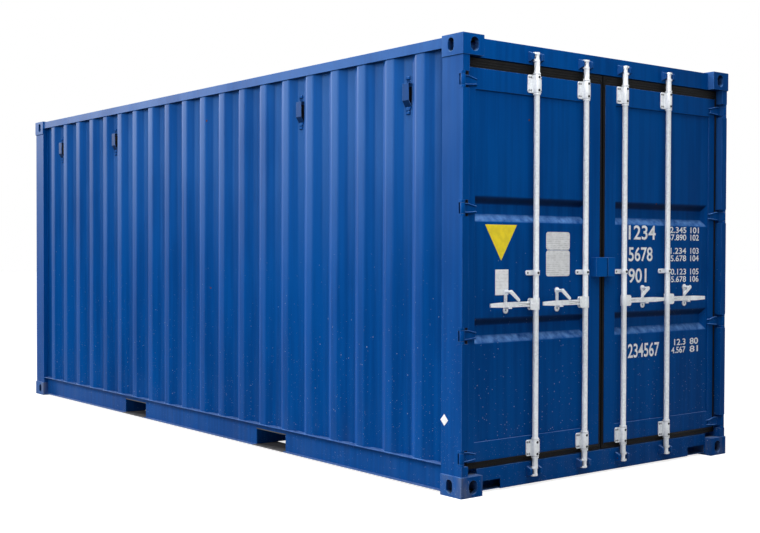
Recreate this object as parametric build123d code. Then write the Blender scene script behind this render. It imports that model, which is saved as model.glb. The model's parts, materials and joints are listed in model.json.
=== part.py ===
from build123d import *
import math
import os

# Twenty foot dry freight container, millimetres, +Z up.
# The origin is the middle of the base, X is across the width, Y is along the
# length, and the doors are at the low Y end.
# Near the door end, places are given from the left door corner:
# u is the distance in from the side plane, v the distance in from the end plane.

# Overall size
length = 6058
width = 2438
height = 2591

# Corner castings
casting_length = 178
casting_width = 162
casting_height = 118
casting_face = 28
casting_side = 36
casting_end = 32
casting_back = 12
hole_inset_u = 89.5
hole_inset_v = 102.5
face_hole_length = 124
face_hole_width = 63.5
end_hole_height = 79
end_hole_width = 63.5
side_hole_height = 79
side_hole_width = 51
end_hole_level = 57
side_hole_level = 57

# Corner posts
post_setback = 6
post_wall = 6
post_nose = 50
post_width = 118
post_tail = 60
jamb_depth = 108
jamb_thickness = 40
front_post_depth = 60

# Door headers and sills
beam_face = 50
beam_wall = 4
header_drop = 118
header_lip = 33
roof_setback = 6
roof_sheet = 2
sill_base = 12
sill_top = 145
beam_back = 150
sill_notch_width = 180
sill_notch_height = 58
sill_notch_gap = 8
front_beam_face = 8
front_beam_back = 68

# Side rails
top_rail = 60
top_rail_wall = 3
rail_setback = 8
bottom_rail_base = 12
bottom_rail_height = 158
bottom_rail_wall = 4.5
bottom_rail_flange = 44
bottom_rail_foot = 30

# Corrugated walls
side_wall_setback = 14
wall_depth = 36
wall_sheet = 2
wall_margin = 210
wall_crest_share = 0.259
wall_ramp_share = 0.2446
wall_waves = 20
front_wall_setback = 14
front_wall_depth = 45
front_wall_margin = 220
front_wall_crest = 110
front_wall_ramp = 18
front_wall_waves = 8

# Roof
roof_end_margin = 416.5
roof_waves = 26
roof_trough_width = 90
roof_ramp = 20
roof_trough_depth = 20
roof_margin = 140
roof_side_cover = 28
roof_end_cover = 40

# Base
floor_board = 28
floor_boards_across = 5
floor_joint = 2
floor_edge = 4
cross_height = 118
cross_flange = 45
cross_wall = 4
cross_margin = 365
cross_count = 19
fork_spacing = 2050
fork_width = 360
fork_height = 108
fork_wall = 6
fork_strap = 200

# Door hinges
hinge_shares = (0.0206, 0.3272, 0.6455, 0.9647)
hinge_height = 92
blade_height = 60
blade_thickness = 10
blade_gap = 1
blade_reach = 62
blade_tip_height = 26
blade_neck = 22
pin_inset = 18
pin_radius = 8
knuckle_radius = 14
hinge_recess = 56
hinge_slot = 38
pin_clearance = 0.05

# Door leaves
leaf_gap = 20
leaf_seam = 50
leaf_base = 176
leaf_head_gap = 60
frame_depth = 50
frame_wall = 3
hinge_stile = 66
lock_stile = 96
frame_rail = 121
panel_setback = 10
panel_sheet = 2
trough_shares = (0.3357, 0.646)
trough_mouth = 150
trough_floor = 50
trough_depth = 36

# Door seals
seal_web = 4
seal_lip = 7
seal_gap = 5.5
seal_seam = 9
seal_front = 54
seal_back = 104

# Locking bars
outer_bar_share = 0.476744
inner_bar_share = 0.86136
bar_inset = 26
bar_radius = 17
bar_wall = 3
bar_base = 108
bar_head_gap = 95
collar_radius = 22
collar_height = 8
collar_gap = 3

# Bar cams and keepers
cam_level = 86
cam_head_gap = 75
cam_height = 54
cam_plate = 12
cam_reach = 28
cam_front = 16
cam_heel = 15
cam_web_radius = 14
keeper_gap = 34
keeper_thickness = 14
keeper_reach = 38
keeper_height = 62
keeper_plate = 3
keeper_throat = 14

# Bar brackets
bracket_level = 224
bracket_head_gap = 53
bracket_height = 96
head_bracket_height = 106
bracket_half = 56
plate_corner = 8
bracket_plate = 8
bracket_shell = 5
guide_level = 1254
guide_height = 30
guide_half = 56

# Handles
handle_level = 1072
handle_gap = 50
handle_height = 30
grip_height = 22
handle_thickness = 10
handle_crank = 12
crank_start = 246
crank_end = 282
hub_height = 68
hub_corner = 9
hub_radius = 25
hub_ear = 7
hub_gap = 1
hub_pin_place = 40
hub_pin_radius = 7
handle_eye = 16

# Handle rests and catches
rest_place = 218
rest_base = 1020
rest_head = 1165
rest_width = 38
rest_hole_radius = 6
rest_plate = 6
rest_waist = 22
shelf_height = 8
shelf_width = 26
shelf_front = 16
seat_gap = 0.3
catch_pivot_level = 1146
catch_pin_radius = 6
catch_front = 7
catch_thickness = 6
catch_length = 77
catch_radius = 12
catch_tip = 9
catch_rest_angle = 52
catch_cap = 3

# Lock box over the seam
lock_base = 1225
lock_head = 1344
lock_bar_gap = 19
lock_right = 68
lock_front = 4
lock_wall = 4

# Side vents
vent_wave_numbers = (0, 4, 14, 18)
vent_head_gap = 295
vent_height = 140
vent_overall = 226
vent_side_gap = 5
vent_tab_width = 34
vent_depth = 26
vent_wall = 2
vent_chin = 40
vent_tab = 2

# Overrun of every cut
overrun = 10

# Places worked out from the sizes above
half_length = length / 2
half_width = width / 2
beam_top = height - roof_setback - roof_sheet
header_base = height - header_drop
top_rail_base = beam_top - top_rail
bottom_rail_top = bottom_rail_base + bottom_rail_height
floor_base = bottom_rail_top - floor_board
web_inset = rail_setback + bottom_rail_flange
nose_edge = post_setback + post_nose
post_edge = post_setback + post_width
tail_edge = post_setback + post_tail
fork_half = fork_width / 2 + fork_wall
fork_floor = bottom_rail_base + fork_wall
fork_roof = fork_floor + fork_height
leaf_edge = nose_edge + leaf_gap
leaf_free = half_width - leaf_seam / 2
leaf_head = header_base - leaf_head_gap
leaf_height = leaf_head - leaf_base
leaf_width = leaf_free - leaf_edge
outer_bar = half_width - leaf_edge - outer_bar_share * leaf_width
inner_bar = half_width - leaf_edge - inner_bar_share * leaf_width
handle_length = outer_bar - inner_bar - handle_gap
lock_left = inner_bar - guide_half - lock_bar_gap
bar_head = height - bar_head_gap
vent_level = height - vent_head_gap
frame_back = beam_face + frame_depth
panel_face = beam_face + panel_setback
handle_face = bar_inset - handle_thickness / 2
wall_pitch = (length - 2 * casting_length - 2 * wall_margin) / (wall_waves - 1)
wall_crest = wall_crest_share * wall_pitch
wall_ramp = wall_ramp_share * wall_pitch
vent_width = wall_pitch - wall_crest - 2 * wall_ramp - 2 * vent_side_gap
front_wall_pitch = (width - 2 * post_edge - 2 * front_wall_margin) / (front_wall_waves - 1)
roof_pitch = (length - 2 * roof_end_margin) / (roof_waves - 1)
cross_pitch = (length - 2 * cross_margin) / (cross_count - 1)
hinge_levels = [leaf_base + share * leaf_height for share in hinge_shares]
trough_levels = [leaf_base + share * leaf_height for share in trough_shares]
cam_levels = (cam_level, height - cam_head_gap)
bracket_levels = (bracket_level, leaf_head - bracket_head_gap)
bracket_heights = (bracket_height, head_bracket_height)


def point(axis, level, pair):
    """Turn a section point into a space point, for a section square to the axis."""
    first, second = pair
    if axis == "X":
        return (level, first, second)
    if axis == "Y":
        return (first, level, second)
    return (first, second, level)


def prism(axis, outline, start, end):
    """A straight bar whose section is a closed outline of points."""
    directions = {"X": (1, 0, 0), "Y": (0, 1, 0), "Z": (0, 0, 1)}
    edge = Polyline(*[point(axis, start, pair) for pair in outline], close=True)
    return extrude(make_face(edge), end - start, dir=directions[axis])


def block(across, along, upright):
    """A box between three pairs of limits."""
    outline = [(across[0], along[0]), (across[1], along[0]), (across[1], along[1]), (across[0], along[1])]
    return prism("Z", outline, upright[0], upright[1])


def rod(axis, centre, radius, start, end):
    """A round bar along an axis, its centre given in the section's own two directions."""
    directions = {"X": (1, 0, 0), "Y": (0, 1, 0), "Z": (0, 0, 1)}
    base = Plane(origin=point(axis, start, centre), z_dir=directions[axis])
    return extrude(base * Circle(radius), end - start)


def left_normal(first, second):
    """The unit direction to the left of a straight run."""
    run = (second[0] - first[0], second[1] - first[1])
    size = math.hypot(run[0], run[1])
    return (-run[1] / size, run[0] / size)


def mitred(points, gap, closed=False):
    """The same line moved to the left of its travel by a gap, with mitred corners."""
    moved = []
    for index, here in enumerate(points):
        runs = []
        if index > 0 or closed:
            runs.append((points[index - 1], here))
        if index < len(points) - 1 or closed:
            runs.append((here, points[(index + 1) % len(points)]))
        normals = [left_normal(first, second) for first, second in runs]
        total = (sum(n[0] for n in normals), sum(n[1] for n in normals))
        stretch = gap * len(normals) / (total[0] ** 2 + total[1] ** 2)
        moved.append((here[0] + total[0] * stretch, here[1] + total[1] * stretch))
    return moved


def sheet(axis, line, gauge, start, end):
    """Sheet metal folded along an open line, its gauge laid to the left of the line."""
    return prism(axis, line + mitred(line, gauge)[::-1], start, end)


def tube(axis, outline, gauge, start, end):
    """A hollow bar. The outline runs anticlockwise, and the gauge lies inside it."""
    inner = mitred(outline, gauge, closed=True)
    return prism(axis, outline, start, end) - prism(axis, inner, start - overrun, end + overrun)


def at_corner(shape):
    """Move a piece from corner places to its place at the left door corner."""
    return Pos(-half_width, -half_length, 0) * shape


def both_sides(shapes):
    """The pieces and their mirror images across the middle plane."""
    return shapes + [mirror(shape, about=Plane.YZ) for shape in shapes]


def both_ends(shapes):
    """The pieces and their mirror images from the door end to the front end."""
    return shapes + [mirror(shape, about=Plane.XZ) for shape in shapes]


def slot_cut(origin, long_way, normal, overall, breadth, depth):
    """A cutter with a round-ended section, centred on a wall."""
    base = Plane(origin=origin, x_dir=long_way, z_dir=normal)
    return extrude(base * SlotOverall(overall, breadth), depth, both=True)


def corner_casting(upper):
    """A hollow corner casting with an aperture in its face, its end and its side."""
    low = height - casting_height if upper else 0
    high = low + casting_height
    outer = block((0, casting_width), (0, casting_length), (low, high))
    room_low = low + (casting_back if upper else casting_face)
    room_high = high - (casting_face if upper else casting_back)
    room = block(
        (casting_side, casting_width - casting_back),
        (casting_end, casting_length - casting_back),
        (room_low, room_high),
    )
    face_level = high if upper else low
    face_hole = slot_cut(
        (hole_inset_u, hole_inset_v, face_level), (0, 1, 0), (0, 0, 1),
        face_hole_length, face_hole_width, casting_face + overrun,
    )
    end_level = high - end_hole_level if upper else low + end_hole_level
    end_hole = slot_cut(
        (hole_inset_u, 0, end_level), (0, 0, 1), (0, 1, 0),
        end_hole_height, end_hole_width, casting_end + overrun,
    )
    side_level = high - side_hole_level if upper else low + side_hole_level
    side_hole = slot_cut(
        (0, hole_inset_v, side_level), (0, 0, 1), (1, 0, 0),
        side_hole_height, side_hole_width, casting_side + overrun,
    )
    return at_corner(outer - room - face_hole - end_hole - side_hole)


def hinge_room(level, grow):
    """The recess in the post round one hinge, with its narrower slot in the side."""
    low = level - hinge_height / 2 - grow
    high = level + hinge_height / 2 + grow
    end_part = block((post_setback - overrun, nose_edge + overrun), (0, hinge_slot + grow), (low, high))
    deep_part = block(
        (post_setback + post_wall, nose_edge + overrun), (0, hinge_recess + grow), (low, high)
    )
    return end_part + deep_part


def hinge_lug(low, high):
    """One ear of a hinge, from the recess to the pin."""
    neck = block(
        (pin_inset - knuckle_radius, pin_inset + knuckle_radius),
        (pin_inset, hinge_recess),
        (low, high),
    )
    neck = neck - block((0, post_setback), (hinge_slot, hinge_recess), (low, high))
    eye = rod("Z", (pin_inset, pin_inset), knuckle_radius, low, high)
    bore = rod("Z", (pin_inset, pin_inset), pin_radius + pin_clearance, low - overrun, high + overrun)
    return neck + eye - bore


def door_post():
    """A hollow corner post with recesses and ears for the hinges."""
    low = casting_height
    high = height - casting_height
    outline = [
        (post_setback, post_setback),
        (nose_edge, post_setback),
        (nose_edge, jamb_depth),
        (post_edge, jamb_depth),
        (post_edge, jamb_depth + jamb_thickness),
        (tail_edge, jamb_depth + jamb_thickness),
        (tail_edge, casting_length),
        (post_setback, casting_length),
    ]
    solid = prism("Z", outline, low, high)
    room = prism("Z", mitred(outline, post_wall, closed=True), low - overrun, high + overrun)
    for level in hinge_levels:
        solid = solid - hinge_room(level, 0)
        room = room - hinge_room(level, post_wall)
    post = solid - room
    lug_height = (hinge_height - blade_height) / 2 - blade_gap
    for level in hinge_levels:
        base = level - hinge_height / 2
        top = level + hinge_height / 2
        post = post + hinge_lug(base, base + lug_height) + hinge_lug(top - lug_height, top)
    return at_corner(post)


def hinge_pin(level):
    """A straight pin through both ears."""
    low = level - hinge_height / 2
    return at_corner(rod("Z", (pin_inset, pin_inset), pin_radius, low, low + hinge_height))


def front_post():
    """A hollow corner post at the front end, with its wide face to the front."""
    outline = [
        (post_setback, post_setback),
        (post_edge, post_setback),
        (post_edge, front_post_depth + post_setback),
        (tail_edge, front_post_depth + post_setback),
        (tail_edge, casting_length),
        (post_setback, casting_length),
    ]
    post = tube("Z", outline, post_wall, casting_height, height - casting_height)
    return mirror(at_corner(post), about=Plane.XZ)


def door_header():
    """The hollow beam over the doors, with the lip that the door seals close on."""
    reach = half_width - casting_width
    outline = [
        (beam_face, header_base),
        (beam_back, header_base),
        (beam_back, beam_top),
        (beam_face, beam_top),
    ]
    beam = tube("X", outline, beam_wall, -reach, reach)
    lip_reach = half_width - post_edge
    lip = [
        (jamb_depth, header_base - header_lip),
        (jamb_depth + jamb_thickness, header_base - header_lip),
        (jamb_depth + jamb_thickness, header_base),
        (jamb_depth, header_base),
    ]
    beam = beam + tube("X", lip, beam_wall, -lip_reach, lip_reach)
    return Pos(0, -half_length, 0) * beam


def door_sill():
    """The hollow beam under the doors, with its threshold and the two corner notches."""
    reach = half_width - casting_width
    outline = [
        (beam_face, sill_base),
        (beam_back, sill_base),
        (beam_back, bottom_rail_top),
        (jamb_depth, bottom_rail_top),
        (jamb_depth, sill_top),
        (beam_face, sill_top),
    ]
    beam = tube("X", outline, beam_wall, -reach, reach)
    notch = block(
        (-reach + sill_notch_gap, -reach + sill_notch_gap + sill_notch_width),
        (beam_face - overrun, beam_face + beam_wall + overrun),
        (sill_base - overrun, sill_base + sill_notch_height),
    )
    for cut in both_sides([notch]):
        beam = beam - cut
    return Pos(0, -half_length, 0) * beam


def front_beam(low, high):
    """A hollow beam of the front end, between the castings."""
    reach = half_width - casting_width
    outline = [
        (half_length - front_beam_back, low),
        (half_length - front_beam_face, low),
        (half_length - front_beam_face, high),
        (half_length - front_beam_back, high),
    ]
    return tube("X", outline, beam_wall, -reach, reach)


def top_side_rail():
    """The square tube along the top of a side, between the castings."""
    reach = half_length - casting_length
    inset = -half_width + rail_setback
    outline = [
        (inset, top_rail_base),
        (inset + top_rail, top_rail_base),
        (inset + top_rail, beam_top),
        (inset, beam_top),
    ]
    return tube("Y", outline, top_rail_wall, -reach, reach)


def bottom_side_rail():
    """The three lengths of channel along the foot of a side, with flanges outward."""
    reach = half_length - casting_length
    web = -half_width + web_inset
    line = [
        (web - bottom_rail_foot, bottom_rail_base),
        (web, bottom_rail_base),
        (web, bottom_rail_top),
        (web - bottom_rail_flange, bottom_rail_top),
    ]
    near = fork_spacing / 2 - fork_half
    far = fork_spacing / 2 + fork_half
    lengths = [(-reach, -far), (-near, near), (far, reach)]
    return [sheet("Y", line, bottom_rail_wall, start, end) for start, end in lengths]


def fork_lintel(middle):
    """The upper part of the side channel, carried on over a fork tunnel."""
    web = -half_width + web_inset
    line = [
        (web, fork_roof + fork_wall),
        (web, bottom_rail_top),
        (web - bottom_rail_flange, bottom_rail_top),
    ]
    return sheet("Y", line, bottom_rail_wall, middle - fork_half, middle + fork_half)


def wave_line(waves, pitch, crest, ramp, depth, reach):
    """Places along a corrugated wall and its depth behind the crests, end to end."""
    line = [(-reach, depth)]
    for wave in range(waves):
        middle = (wave - (waves - 1) / 2) * pitch
        line.append((middle - crest / 2 - ramp, depth))
        line.append((middle - crest / 2, 0))
        line.append((middle + crest / 2, 0))
        line.append((middle + crest / 2 + ramp, depth))
    line.append((reach, depth))
    return line


def side_wall():
    """The corrugated left wall, one folded sheet."""
    reach = half_length - casting_length
    waves = wave_line(wall_waves, wall_pitch, wall_crest, wall_ramp, wall_depth, reach)
    outer = -half_width + side_wall_setback
    line = [(outer + deep, place) for place, deep in waves]
    return sheet("Z", line[::-1], wall_sheet, bottom_rail_top, top_rail_base)


def front_wall():
    """The corrugated front wall, one folded sheet."""
    reach = half_width - post_edge
    waves = wave_line(
        front_wall_waves, front_wall_pitch, front_wall_crest, front_wall_ramp, front_wall_depth, reach
    )
    outer = half_length - front_wall_setback
    line = [(place, outer - deep) for place, deep in waves]
    return sheet("Z", line[::-1], wall_sheet, bottom_rail_top, header_base)


def roof_slab(level):
    """A thick slab whose top has the roof's stamped troughs."""
    wide = half_width - rail_setback - roof_side_cover
    reach = half_length - casting_length
    slab = block((-wide, wide), (-reach, reach), (level - roof_trough_depth - overrun, level))
    taper = math.degrees(math.atan2(roof_ramp, roof_trough_depth))
    troughs = []
    for wave in range(roof_waves):
        middle = (wave - (roof_waves - 1) / 2) * roof_pitch
        mouth = Pos(0, middle, level) * Rectangle(2 * (half_width - roof_margin), roof_trough_width)
        troughs.append(extrude(mouth, -roof_trough_depth, taper=taper))
    return slab - troughs


def roof_panel():
    """The roof sheet, crests level and troughs stamped down across the width."""
    top = beam_top + roof_sheet
    return roof_slab(top) - roof_slab(top - roof_sheet)


def roof_end_plates():
    """The flat plates between the castings that join the roof to the two headers."""
    reach = half_width - casting_width
    near = half_length - casting_length
    door_end = half_length - beam_face - roof_end_cover
    front_end = half_length - front_beam_face - roof_end_cover
    upright = (beam_top, beam_top + roof_sheet)
    return [
        block((-reach, reach), (-door_end, -near), upright),
        block((-reach, reach), (near, front_end), upright),
    ]


def crossmember(place):
    """A channel under the floor, from web to web of the side rails."""
    reach = half_width - web_inset
    line = [
        (place + cross_flange, floor_base - cross_height),
        (place, floor_base - cross_height),
        (place, floor_base),
        (place + cross_flange, floor_base),
    ]
    return sheet("X", line[::-1], cross_wall, -reach, reach)


def crossmembers():
    """All channels that stay clear of the fork tunnels."""
    members = []
    for index in range(cross_count):
        place = (index - (cross_count - 1) / 2) * cross_pitch
        gap = abs(abs(place + cross_flange / 2) - fork_spacing / 2)
        if gap > fork_width / 2 + fork_wall + cross_flange / 2:
            members.append(crossmember(place))
    return members


def fork_tunnel_plates(middle):
    """The top plate of a fork tunnel and the straps under its two mouths."""
    reach = half_width - web_inset + bottom_rail_wall
    along = (middle - fork_half, middle + fork_half)
    top = block((-reach, reach), along, (fork_roof, fork_roof + fork_wall))
    foot = half_width - web_inset + bottom_rail_foot
    strap = block((-foot, -foot + fork_strap), along, (bottom_rail_base, fork_floor))
    return [top] + both_sides([strap])


def fork_tunnel_side(middle, way):
    """One upright plate beside a fork tunnel."""
    reach = half_width - web_inset + bottom_rail_wall
    places = sorted((middle + way * fork_half, middle + way * (fork_half - fork_wall)))
    return block((-reach, reach), places, (fork_floor, fork_roof))


def fork_pockets():
    """The flat plates of both fork tunnels."""
    return fork_tunnel_plates(-fork_spacing / 2) + fork_tunnel_plates(fork_spacing / 2)


def fork_frames():
    """The upright plates of both fork tunnels and the lintels over their mouths."""
    pieces = []
    for middle in (-fork_spacing / 2, fork_spacing / 2):
        pieces += [fork_tunnel_side(middle, -1), fork_tunnel_side(middle, 1)]
        pieces += both_sides([fork_lintel(middle)])
    return pieces


def floor_board_row(row):
    """One long floor board with its joint beside it."""
    inner = half_width - web_inset - floor_edge
    pitch = (2 * inner + floor_joint) / floor_boards_across
    start = -inner + row * pitch
    board = block(
        (start, start + pitch - floor_joint),
        (-half_length + beam_back, half_length - front_beam_back),
        (floor_base, bottom_rail_top),
    )
    corner = block(
        (-half_width, -half_width + tail_edge + floor_edge),
        (-half_length, -half_length + casting_length + floor_edge),
        (floor_base - overrun, bottom_rail_top + overrun),
    )
    for cut in both_ends(both_sides([corner])):
        board = board - cut
    return board


def keeper(level):
    """A cam keeper: a plate with two hooked lugs, one on each side of the cam."""
    low = level - keeper_height / 2
    high = level + keeper_height / 2
    outer = keeper_gap + keeper_thickness
    plate = block((-outer, outer), (beam_face - keeper_plate, beam_face), (low, high))
    front = beam_face - keeper_reach
    lug_line = [
        (beam_face, low),
        (front, low + keeper_throat),
        (front, high - keeper_throat),
        (beam_face, high),
    ]
    lug = prism("X", lug_line, keeper_gap, outer)
    return plate + lug + mirror(lug, about=Plane.YZ)


def cam_keepers():
    """The keepers of all bars, on the header and the sill."""
    left = []
    for level in cam_levels:
        for place in (outer_bar, inner_bar):
            left.append(Pos(-place, -half_length, 0) * keeper(level))
    return both_sides(left)


def vent(wave):
    """A small hooded vent in a valley of the left wall, open at both sides, with two tabs."""
    place = (wall_waves / 2 - 1 - wave) * wall_pitch
    valley = -half_width + side_wall_setback + wall_depth
    low = vent_level - vent_height / 2
    high = vent_level + vent_height / 2
    front = valley - vent_depth
    shell = [(valley, high), (front, high), (front, low + vent_chin), (valley, low)]
    hood = prism("Y", shell, place - vent_width / 2, place + vent_width / 2)
    room_line = mitred(shell, vent_wall, closed=True)
    ends = (place - vent_width / 2 - overrun, place + vent_width / 2 + overrun)
    room = prism("Y", room_line, ends[0], ends[1])
    mouth = block(
        (valley - vent_wall - overrun / 2, valley),
        ends,
        (low + vent_chin, high - vent_wall),
    )
    tab = block(
        (valley - vent_tab, valley),
        (place - vent_tab_width / 2, place + vent_tab_width / 2),
        (vent_level - vent_overall / 2, vent_level + vent_overall / 2),
    )
    return hood + tab - room - mouth


def door_frame():
    """The hollow frame of the left leaf, its stiles open at top and bottom."""
    outer = block((leaf_edge, leaf_free), (beam_face, frame_back), (leaf_base, leaf_head))
    window = block(
        (leaf_edge + hinge_stile, leaf_free - lock_stile),
        (beam_face - overrun, frame_back + overrun),
        (leaf_base + frame_rail, leaf_head - frame_rail),
    )
    depth = (beam_face + frame_wall, frame_back - frame_wall)
    room = block(
        (leaf_edge + frame_wall, leaf_free - frame_wall),
        depth,
        (leaf_base + frame_wall, leaf_head - frame_wall),
    )
    core = block(
        (leaf_edge + hinge_stile - frame_wall, leaf_free - lock_stile + frame_wall),
        (beam_face, frame_back),
        (leaf_base + frame_rail - frame_wall, leaf_head - frame_rail + frame_wall),
    )
    ends = (leaf_base - overrun, leaf_head + overrun)
    hinge_core = block((leaf_edge + frame_wall, leaf_edge + hinge_stile - frame_wall), depth, ends)
    lock_core = block((leaf_free - lock_stile + frame_wall, leaf_free - frame_wall), depth, ends)
    return outer - window - (room - core) - hinge_core - lock_core


def panel_line():
    """The upright line of a door panel with its recessed troughs, from foot to head."""
    line = [(panel_face, leaf_base + frame_rail)]
    for level in trough_levels:
        line.append((panel_face, level - trough_mouth / 2))
        line.append((panel_face + trough_depth, level - trough_floor / 2))
        line.append((panel_face + trough_depth, level + trough_floor / 2))
        line.append((panel_face, level + trough_mouth / 2))
    line.append((panel_face, leaf_head - frame_rail))
    return line


def door_panel():
    """The folded sheet inside the frame."""
    return sheet("X", panel_line()[::-1], panel_sheet, leaf_edge + hinge_stile, leaf_free - lock_stile)


def seal_ring(edge, free, base, head, front, back):
    """A ring round the leaf between two depths."""
    outer = block((edge, free), (front, back), (base, head))
    inner = block((leaf_edge, leaf_free), (front - overrun, back + overrun), (leaf_base, leaf_head))
    return outer - inner


def door_seal():
    """The rubber seal round the leaf: a web on its edge, a front lip and a back lip."""
    web = seal_ring(
        leaf_edge - seal_web, leaf_free + seal_web,
        leaf_base - seal_web, leaf_head + seal_web, seal_front, seal_back,
    )
    limits = (
        nose_edge + seal_gap, half_width - seal_seam / 2,
        sill_top + seal_gap, header_base - seal_gap,
    )
    front_lip = seal_ring(*limits, seal_front, seal_front + seal_lip)
    back_lip = seal_ring(*limits, seal_back - seal_lip, seal_back)
    return web + front_lip + back_lip


def hinge_blade(level):
    """A hinge strap: knuckle, neck and a tapered blade seated on the leaf."""
    half = blade_height / 2
    tip = leaf_edge + blade_reach
    neck_edge = pin_inset + blade_neck
    face = beam_face - blade_thickness
    arm = [
        (pin_inset - knuckle_radius / 2, pin_inset + knuckle_radius / 2),
        (pin_inset + knuckle_radius, pin_inset),
        (neck_edge, face),
        (tip, face),
        (tip, beam_face),
        (pin_inset + knuckle_radius / 2, beam_face),
    ]
    strap = prism("Z", arm, level - half, level + half)
    strap = strap + rod("Z", (pin_inset, pin_inset), knuckle_radius, level - half, level + half)
    side_line = [
        (pin_inset - knuckle_radius - overrun, level - half),
        (leaf_edge, level - half),
        (tip, level - blade_tip_height / 2),
        (tip, level + blade_tip_height / 2),
        (leaf_edge, level + half),
        (pin_inset - knuckle_radius - overrun, level + half),
    ]
    strap = strap & prism("Y", side_line, 0, beam_face)
    bore = rod(
        "Z", (pin_inset, pin_inset), pin_radius + pin_clearance,
        level - half - overrun, level + half + overrun,
    )
    return strap - bore


def cut_corner_line(near, far, low, high, cut):
    """An upright rectangle whose four corners are cut off."""
    return [
        (near + cut, low),
        (far - cut, low),
        (far, low + cut),
        (far, high - cut),
        (far - cut, high),
        (near + cut, high),
        (near, high - cut),
        (near, low + cut),
    ]


def bar_bracket(place, seat, half, level, tall):
    """A bracket that holds a bar to the leaf: a foot plate and a humped cover."""
    low = level - tall / 2
    high = level + tall / 2
    middle = half_width - place
    foot_line = cut_corner_line(middle - half, middle + half, low, high, plate_corner)
    foot = prism("Y", foot_line, seat - bracket_plate, seat)
    shell = bar_radius + bracket_shell
    walls = block((middle - shell, middle + shell), (bar_inset, seat), (low, high))
    hump = rod("Z", (middle, bar_inset), shell, low, high)
    bore = rod("Z", (middle, bar_inset), bar_radius + pin_clearance, low - overrun, high + overrun)
    return foot + walls + hump - bore


def bar_brackets():
    """The brackets and guides of both bars of the left leaf."""
    pieces = []
    for place in (outer_bar, inner_bar):
        for level, tall in zip(bracket_levels, bracket_heights):
            pieces.append(bar_bracket(place, beam_face, bracket_half, level, tall))
        pieces.append(bar_bracket(place, panel_face, guide_half, guide_level, guide_height))
    return pieces


def cam(middle, level):
    """A bar cam: a round web between two flanges with a nose to the front and the handle side."""
    low = level - cam_height / 2
    high = level + cam_height / 2
    web = rod("Z", (middle, bar_inset), cam_web_radius, low, high)
    line = [
        (middle - cam_reach, bar_inset - cam_web_radius / 2),
        (middle - cam_web_radius / 2, bar_inset - cam_front),
        (middle + cam_web_radius / 2, bar_inset - cam_front),
        (middle + cam_heel, bar_inset),
        (middle + cam_web_radius / 2, bar_inset + cam_heel - cam_web_radius / 2),
        (middle - cam_reach, bar_inset + cam_web_radius / 2),
    ]
    lower = prism("Z", line, low, low + cam_plate)
    upper = prism("Z", line, high - cam_plate, high)
    return web + lower + upper


def locking_bar(place):
    """A tube with a cam at each end, collars at its brackets and a hub for the handle."""
    middle = half_width - place
    bar = rod("Z", (middle, bar_inset), bar_radius, bar_base, bar_head)
    bar = bar - rod("Z", (middle, bar_inset), bar_radius - bar_wall, bar_base - overrun, bar_head + overrun)
    for level in cam_levels:
        bar = bar + cam(middle, level)
    for level, tall in zip(bracket_levels, bracket_heights):
        for way in (-1, 1):
            near = level + way * (tall / 2 + collar_gap)
            ends = sorted((near, near + way * collar_height))
            ring = rod("Z", (middle, bar_inset), collar_radius, ends[0], ends[1])
            ring = ring - rod("Z", (middle, bar_inset), bar_radius - bar_wall, ends[0], ends[1])
            bar = bar + ring
    return bar + handle_hub(middle)


def handle_hub(middle):
    """The clamp on the bar with two ears and the pin that the handle turns on."""
    low = handle_level - hub_height / 2
    high = handle_level + hub_height / 2
    pin_place = middle - hub_pin_place
    ring = rod("Z", (middle, bar_inset), hub_radius - hub_ear / 2, low, high)
    ring = ring - rod("Z", (middle, bar_inset), bar_radius - bar_wall, low, high)
    inner = handle_thickness / 2 + hub_gap
    ear_line = cut_corner_line(pin_place - handle_eye, middle, low, high, hub_corner)
    hub = ring
    for way in (-1, 1):
        start = bar_inset + way * inner
        ends = sorted((start, start + way * hub_ear))
        ear = prism("Y", ear_line, ends[0], ends[1])
        core = rod("Z", (middle, bar_inset), bar_radius - bar_wall, low - overrun, high + overrun)
        hub = hub + (ear - core)
    pin = rod(
        "Y", (pin_place, handle_level), hub_pin_radius,
        bar_inset - inner - hub_ear, bar_inset + inner + hub_ear,
    )
    return hub + pin


def handle(place):
    """A lever with a crank, its eye on the hub pin and its grip towards the hinges."""
    middle = half_width - place
    start = middle - hub_pin_place
    near = handle_face
    far = handle_face + handle_thickness
    line = [
        (start, far),
        (middle - crank_start, far),
        (middle - crank_end, far - handle_crank),
        (middle - handle_length, far - handle_crank),
    ]
    lever = sheet(
        "Z", line, handle_thickness,
        handle_level - handle_height / 2, handle_level + handle_height / 2,
    )
    side_line = [
        (start + handle_eye, handle_level - handle_height / 2),
        (start + handle_eye, handle_level + handle_height / 2),
        (middle - crank_end, handle_level + handle_height / 2),
        (middle - handle_length, handle_level + grip_height / 2),
        (middle - handle_length, handle_level - grip_height / 2),
        (middle - crank_end, handle_level - handle_height / 2),
    ]
    lever = lever & prism("Y", side_line, near - handle_crank - overrun, far + overrun)
    eye = rod("Y", (start, handle_level), handle_eye - handle_thickness / 2, near, far)
    bore = rod("Y", (start, handle_level), hub_pin_radius + pin_clearance, near - overrun, far + overrun)
    return lever + eye - bore


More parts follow.
